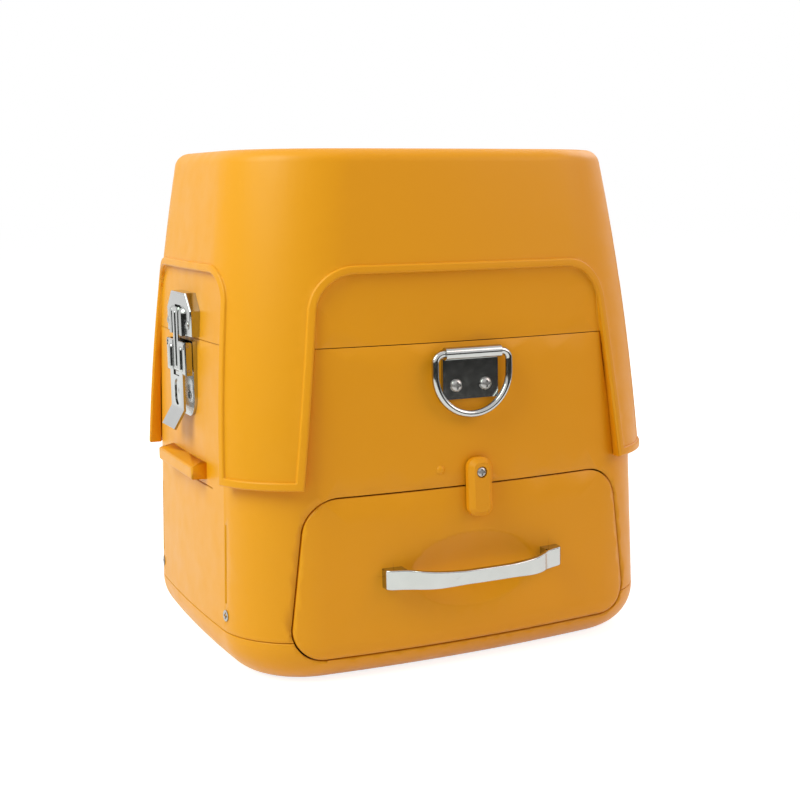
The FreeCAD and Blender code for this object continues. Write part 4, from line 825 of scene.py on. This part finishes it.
def floor_material(colour):
    """Pale floor that shows white and keeps the case's shadow."""
    material = bpy.data.materials.new("pale_floor")
    material.use_nodes = True
    material.node_tree.nodes.clear()
    graph = Graph(material.node_tree)
    matt = graph.add("ShaderNodeBsdfDiffuse", {"Color": rgba(colour)}).outputs[0]
    shadow = rgba([FLOOR_SHADOW_SHARE * c for c in colour])
    faint = graph.add("ShaderNodeBsdfDiffuse", {"Color": shadow}).outputs[0]
    glow = graph.add("ShaderNodeEmission", {"Strength": FLOOR_GLOW}).outputs[0]
    shown = graph.add("ShaderNodeAddShader", {0: glow, 1: faint}).outputs[0]
    both = graph.add("ShaderNodeMixShader", {"Fac": seen_directly(graph), 1: matt, 2: shown}).outputs[0]
    output = graph.add("ShaderNodeOutputMaterial")
    graph.link(both, output.inputs["Surface"])
    return material


def studio_world(ambient):
    """White surround for the eye and for mirrors, and even light for everything else."""
    world = bpy.data.worlds.new("white_studio")
    world.use_nodes = True
    world.node_tree.nodes.clear()
    graph = Graph(world.node_tree)
    white = graph.add("ShaderNodeBackground", {"Color": (1.0, 1.0, 1.0, 1.0), "Strength": 1.0}).outputs[0]
    even = graph.add("ShaderNodeBackground", {"Color": (1.0, 1.0, 1.0, 1.0), "Strength": ambient}).outputs[0]
    both = graph.add("ShaderNodeMixShader", {"Fac": seen_directly(graph), 1: even, 2: white}).outputs[0]
    output = graph.add("ShaderNodeOutputWorld")
    graph.link(both, output.inputs["Surface"])
    return world


def dark_card(name, material, radius, height, first, last):
    """Dark card, bent round the case between two headings in degrees, that only mirrors show."""
    ring = [math.radians(first + (last - first) * i / CARD_STEPS) for i in range(CARD_STEPS + 1)]
    profile = ((radius * CARD_INNER_SHARE, CARD_LIFT), (radius, CARD_LIFT), (radius, height))
    points = [(r * math.sin(a), -r * math.cos(a), z) for r, z in profile for a in ring]
    row = len(ring)
    starts = [i + j * row for j in range(len(profile) - 1) for i in range(CARD_STEPS)]
    faces = [(i, i + 1, i + row + 1, i + row) for i in starts]
    mesh = bpy.data.meshes.new(name)
    mesh.from_pydata(points, [], faces)
    mesh.materials.append(material)
    card = bpy.data.objects.new(name, mesh)
    card.visible_camera = False
    card.visible_diffuse = False
    card.visible_shadow = False
    bpy.context.scene.collection.objects.link(card)


def card_material():
    """Matt black paper of the dark cards."""
    material, graph, shader = fresh_material("card_paper")
    place = graph.add("ShaderNodeTexCoord").outputs["Object"]
    graph.link(clouded_colour(graph, place, CARD_COLOUR, CARD_SHADE, CARD_CLOUD), shader.inputs["Base Color"])
    shader.inputs["Roughness"].default_value = CARD_ROUGHNESS
    return material


class CASE_OT_stage(bpy.types.Operator):
    """Set the floor, the lamps, the surround and the camera"""
    bl_idname = "case.stage"
    bl_label = "Studio"

    def execute(self, context):
        stage = context.scene.carrying_case.stage
        corners = [(x * FLOOR_HALF, y * FLOOR_HALF, 0.0) for x, y in ((-1, -1), (1, -1), (1, 1), (-1, 1))]
        mesh = bpy.data.meshes.new("floor")
        mesh.from_pydata(corners, [], [(0, 1, 2, 3)])
        mesh.materials.append(floor_material(stage.floor_colour))
        floor = bpy.data.objects.new("floor", mesh)
        context.scene.collection.objects.link(floor)
        for name, setting, size, place, tint in LAMPS:
            soft_lamp(name, getattr(stage, setting), size, place, tint)
        context.scene.world = studio_world(stage.ambient)
        paper = card_material()
        for name, first, last in CARDS:
            dark_card(name, paper, stage.card_radius, stage.card_height, first, last)
        camera = bpy.data.cameras.new("camera")
        camera.sensor_width = SENSOR_WIDTH
        camera.lens = stage.lens
        camera.shift_x = stage.shift
        holder = bpy.data.objects.new("camera", camera)
        holder.matrix_world = camera_matrix(stage)
        context.scene.collection.objects.link(holder)
        context.scene.camera = holder
        context.scene.view_settings.view_transform = "Standard"
        return {"FINISHED"}


class CASE_PT_panel(bpy.types.Panel):
    """Buttons of the carrying case in the sidebar"""
    bl_idname = "CASE_PT_panel"
    bl_label = "Carrying Case"
    bl_space_type = "VIEW_3D"
    bl_region_type = "UI"
    bl_category = "Carrying Case"

    def draw(self, context):
        for operator in OPERATORS:
            self.layout.operator(operator.bl_idname)


OPERATORS = (CASE_OT_shells, CASE_OT_inside, CASE_OT_hardware, CASE_OT_screws, CASE_OT_rivets, CASE_OT_stage)
CLASSES = (CaseShellSettings, CaseMetalSettings, CaseScrewSettings, CaseStageSettings,
           CarryingCaseSettings) + OPERATORS + (CASE_PT_panel,)


def register():
    for cls in CLASSES:
        bpy.utils.register_class(cls)
    bpy.types.Scene.carrying_case = PointerProperty(type=CarryingCaseSettings)


def unregister():
    del bpy.types.Scene.carrying_case
    for cls in reversed(CLASSES):
        bpy.utils.unregister_class(cls)


def main():
    register()
    bpy.ops.case.shells()
    bpy.ops.case.inside()
    bpy.ops.case.hardware()
    bpy.ops.case.screws()
    bpy.ops.case.rivets()
    bpy.ops.case.stage()


if __name__ == "__main__":
    main()
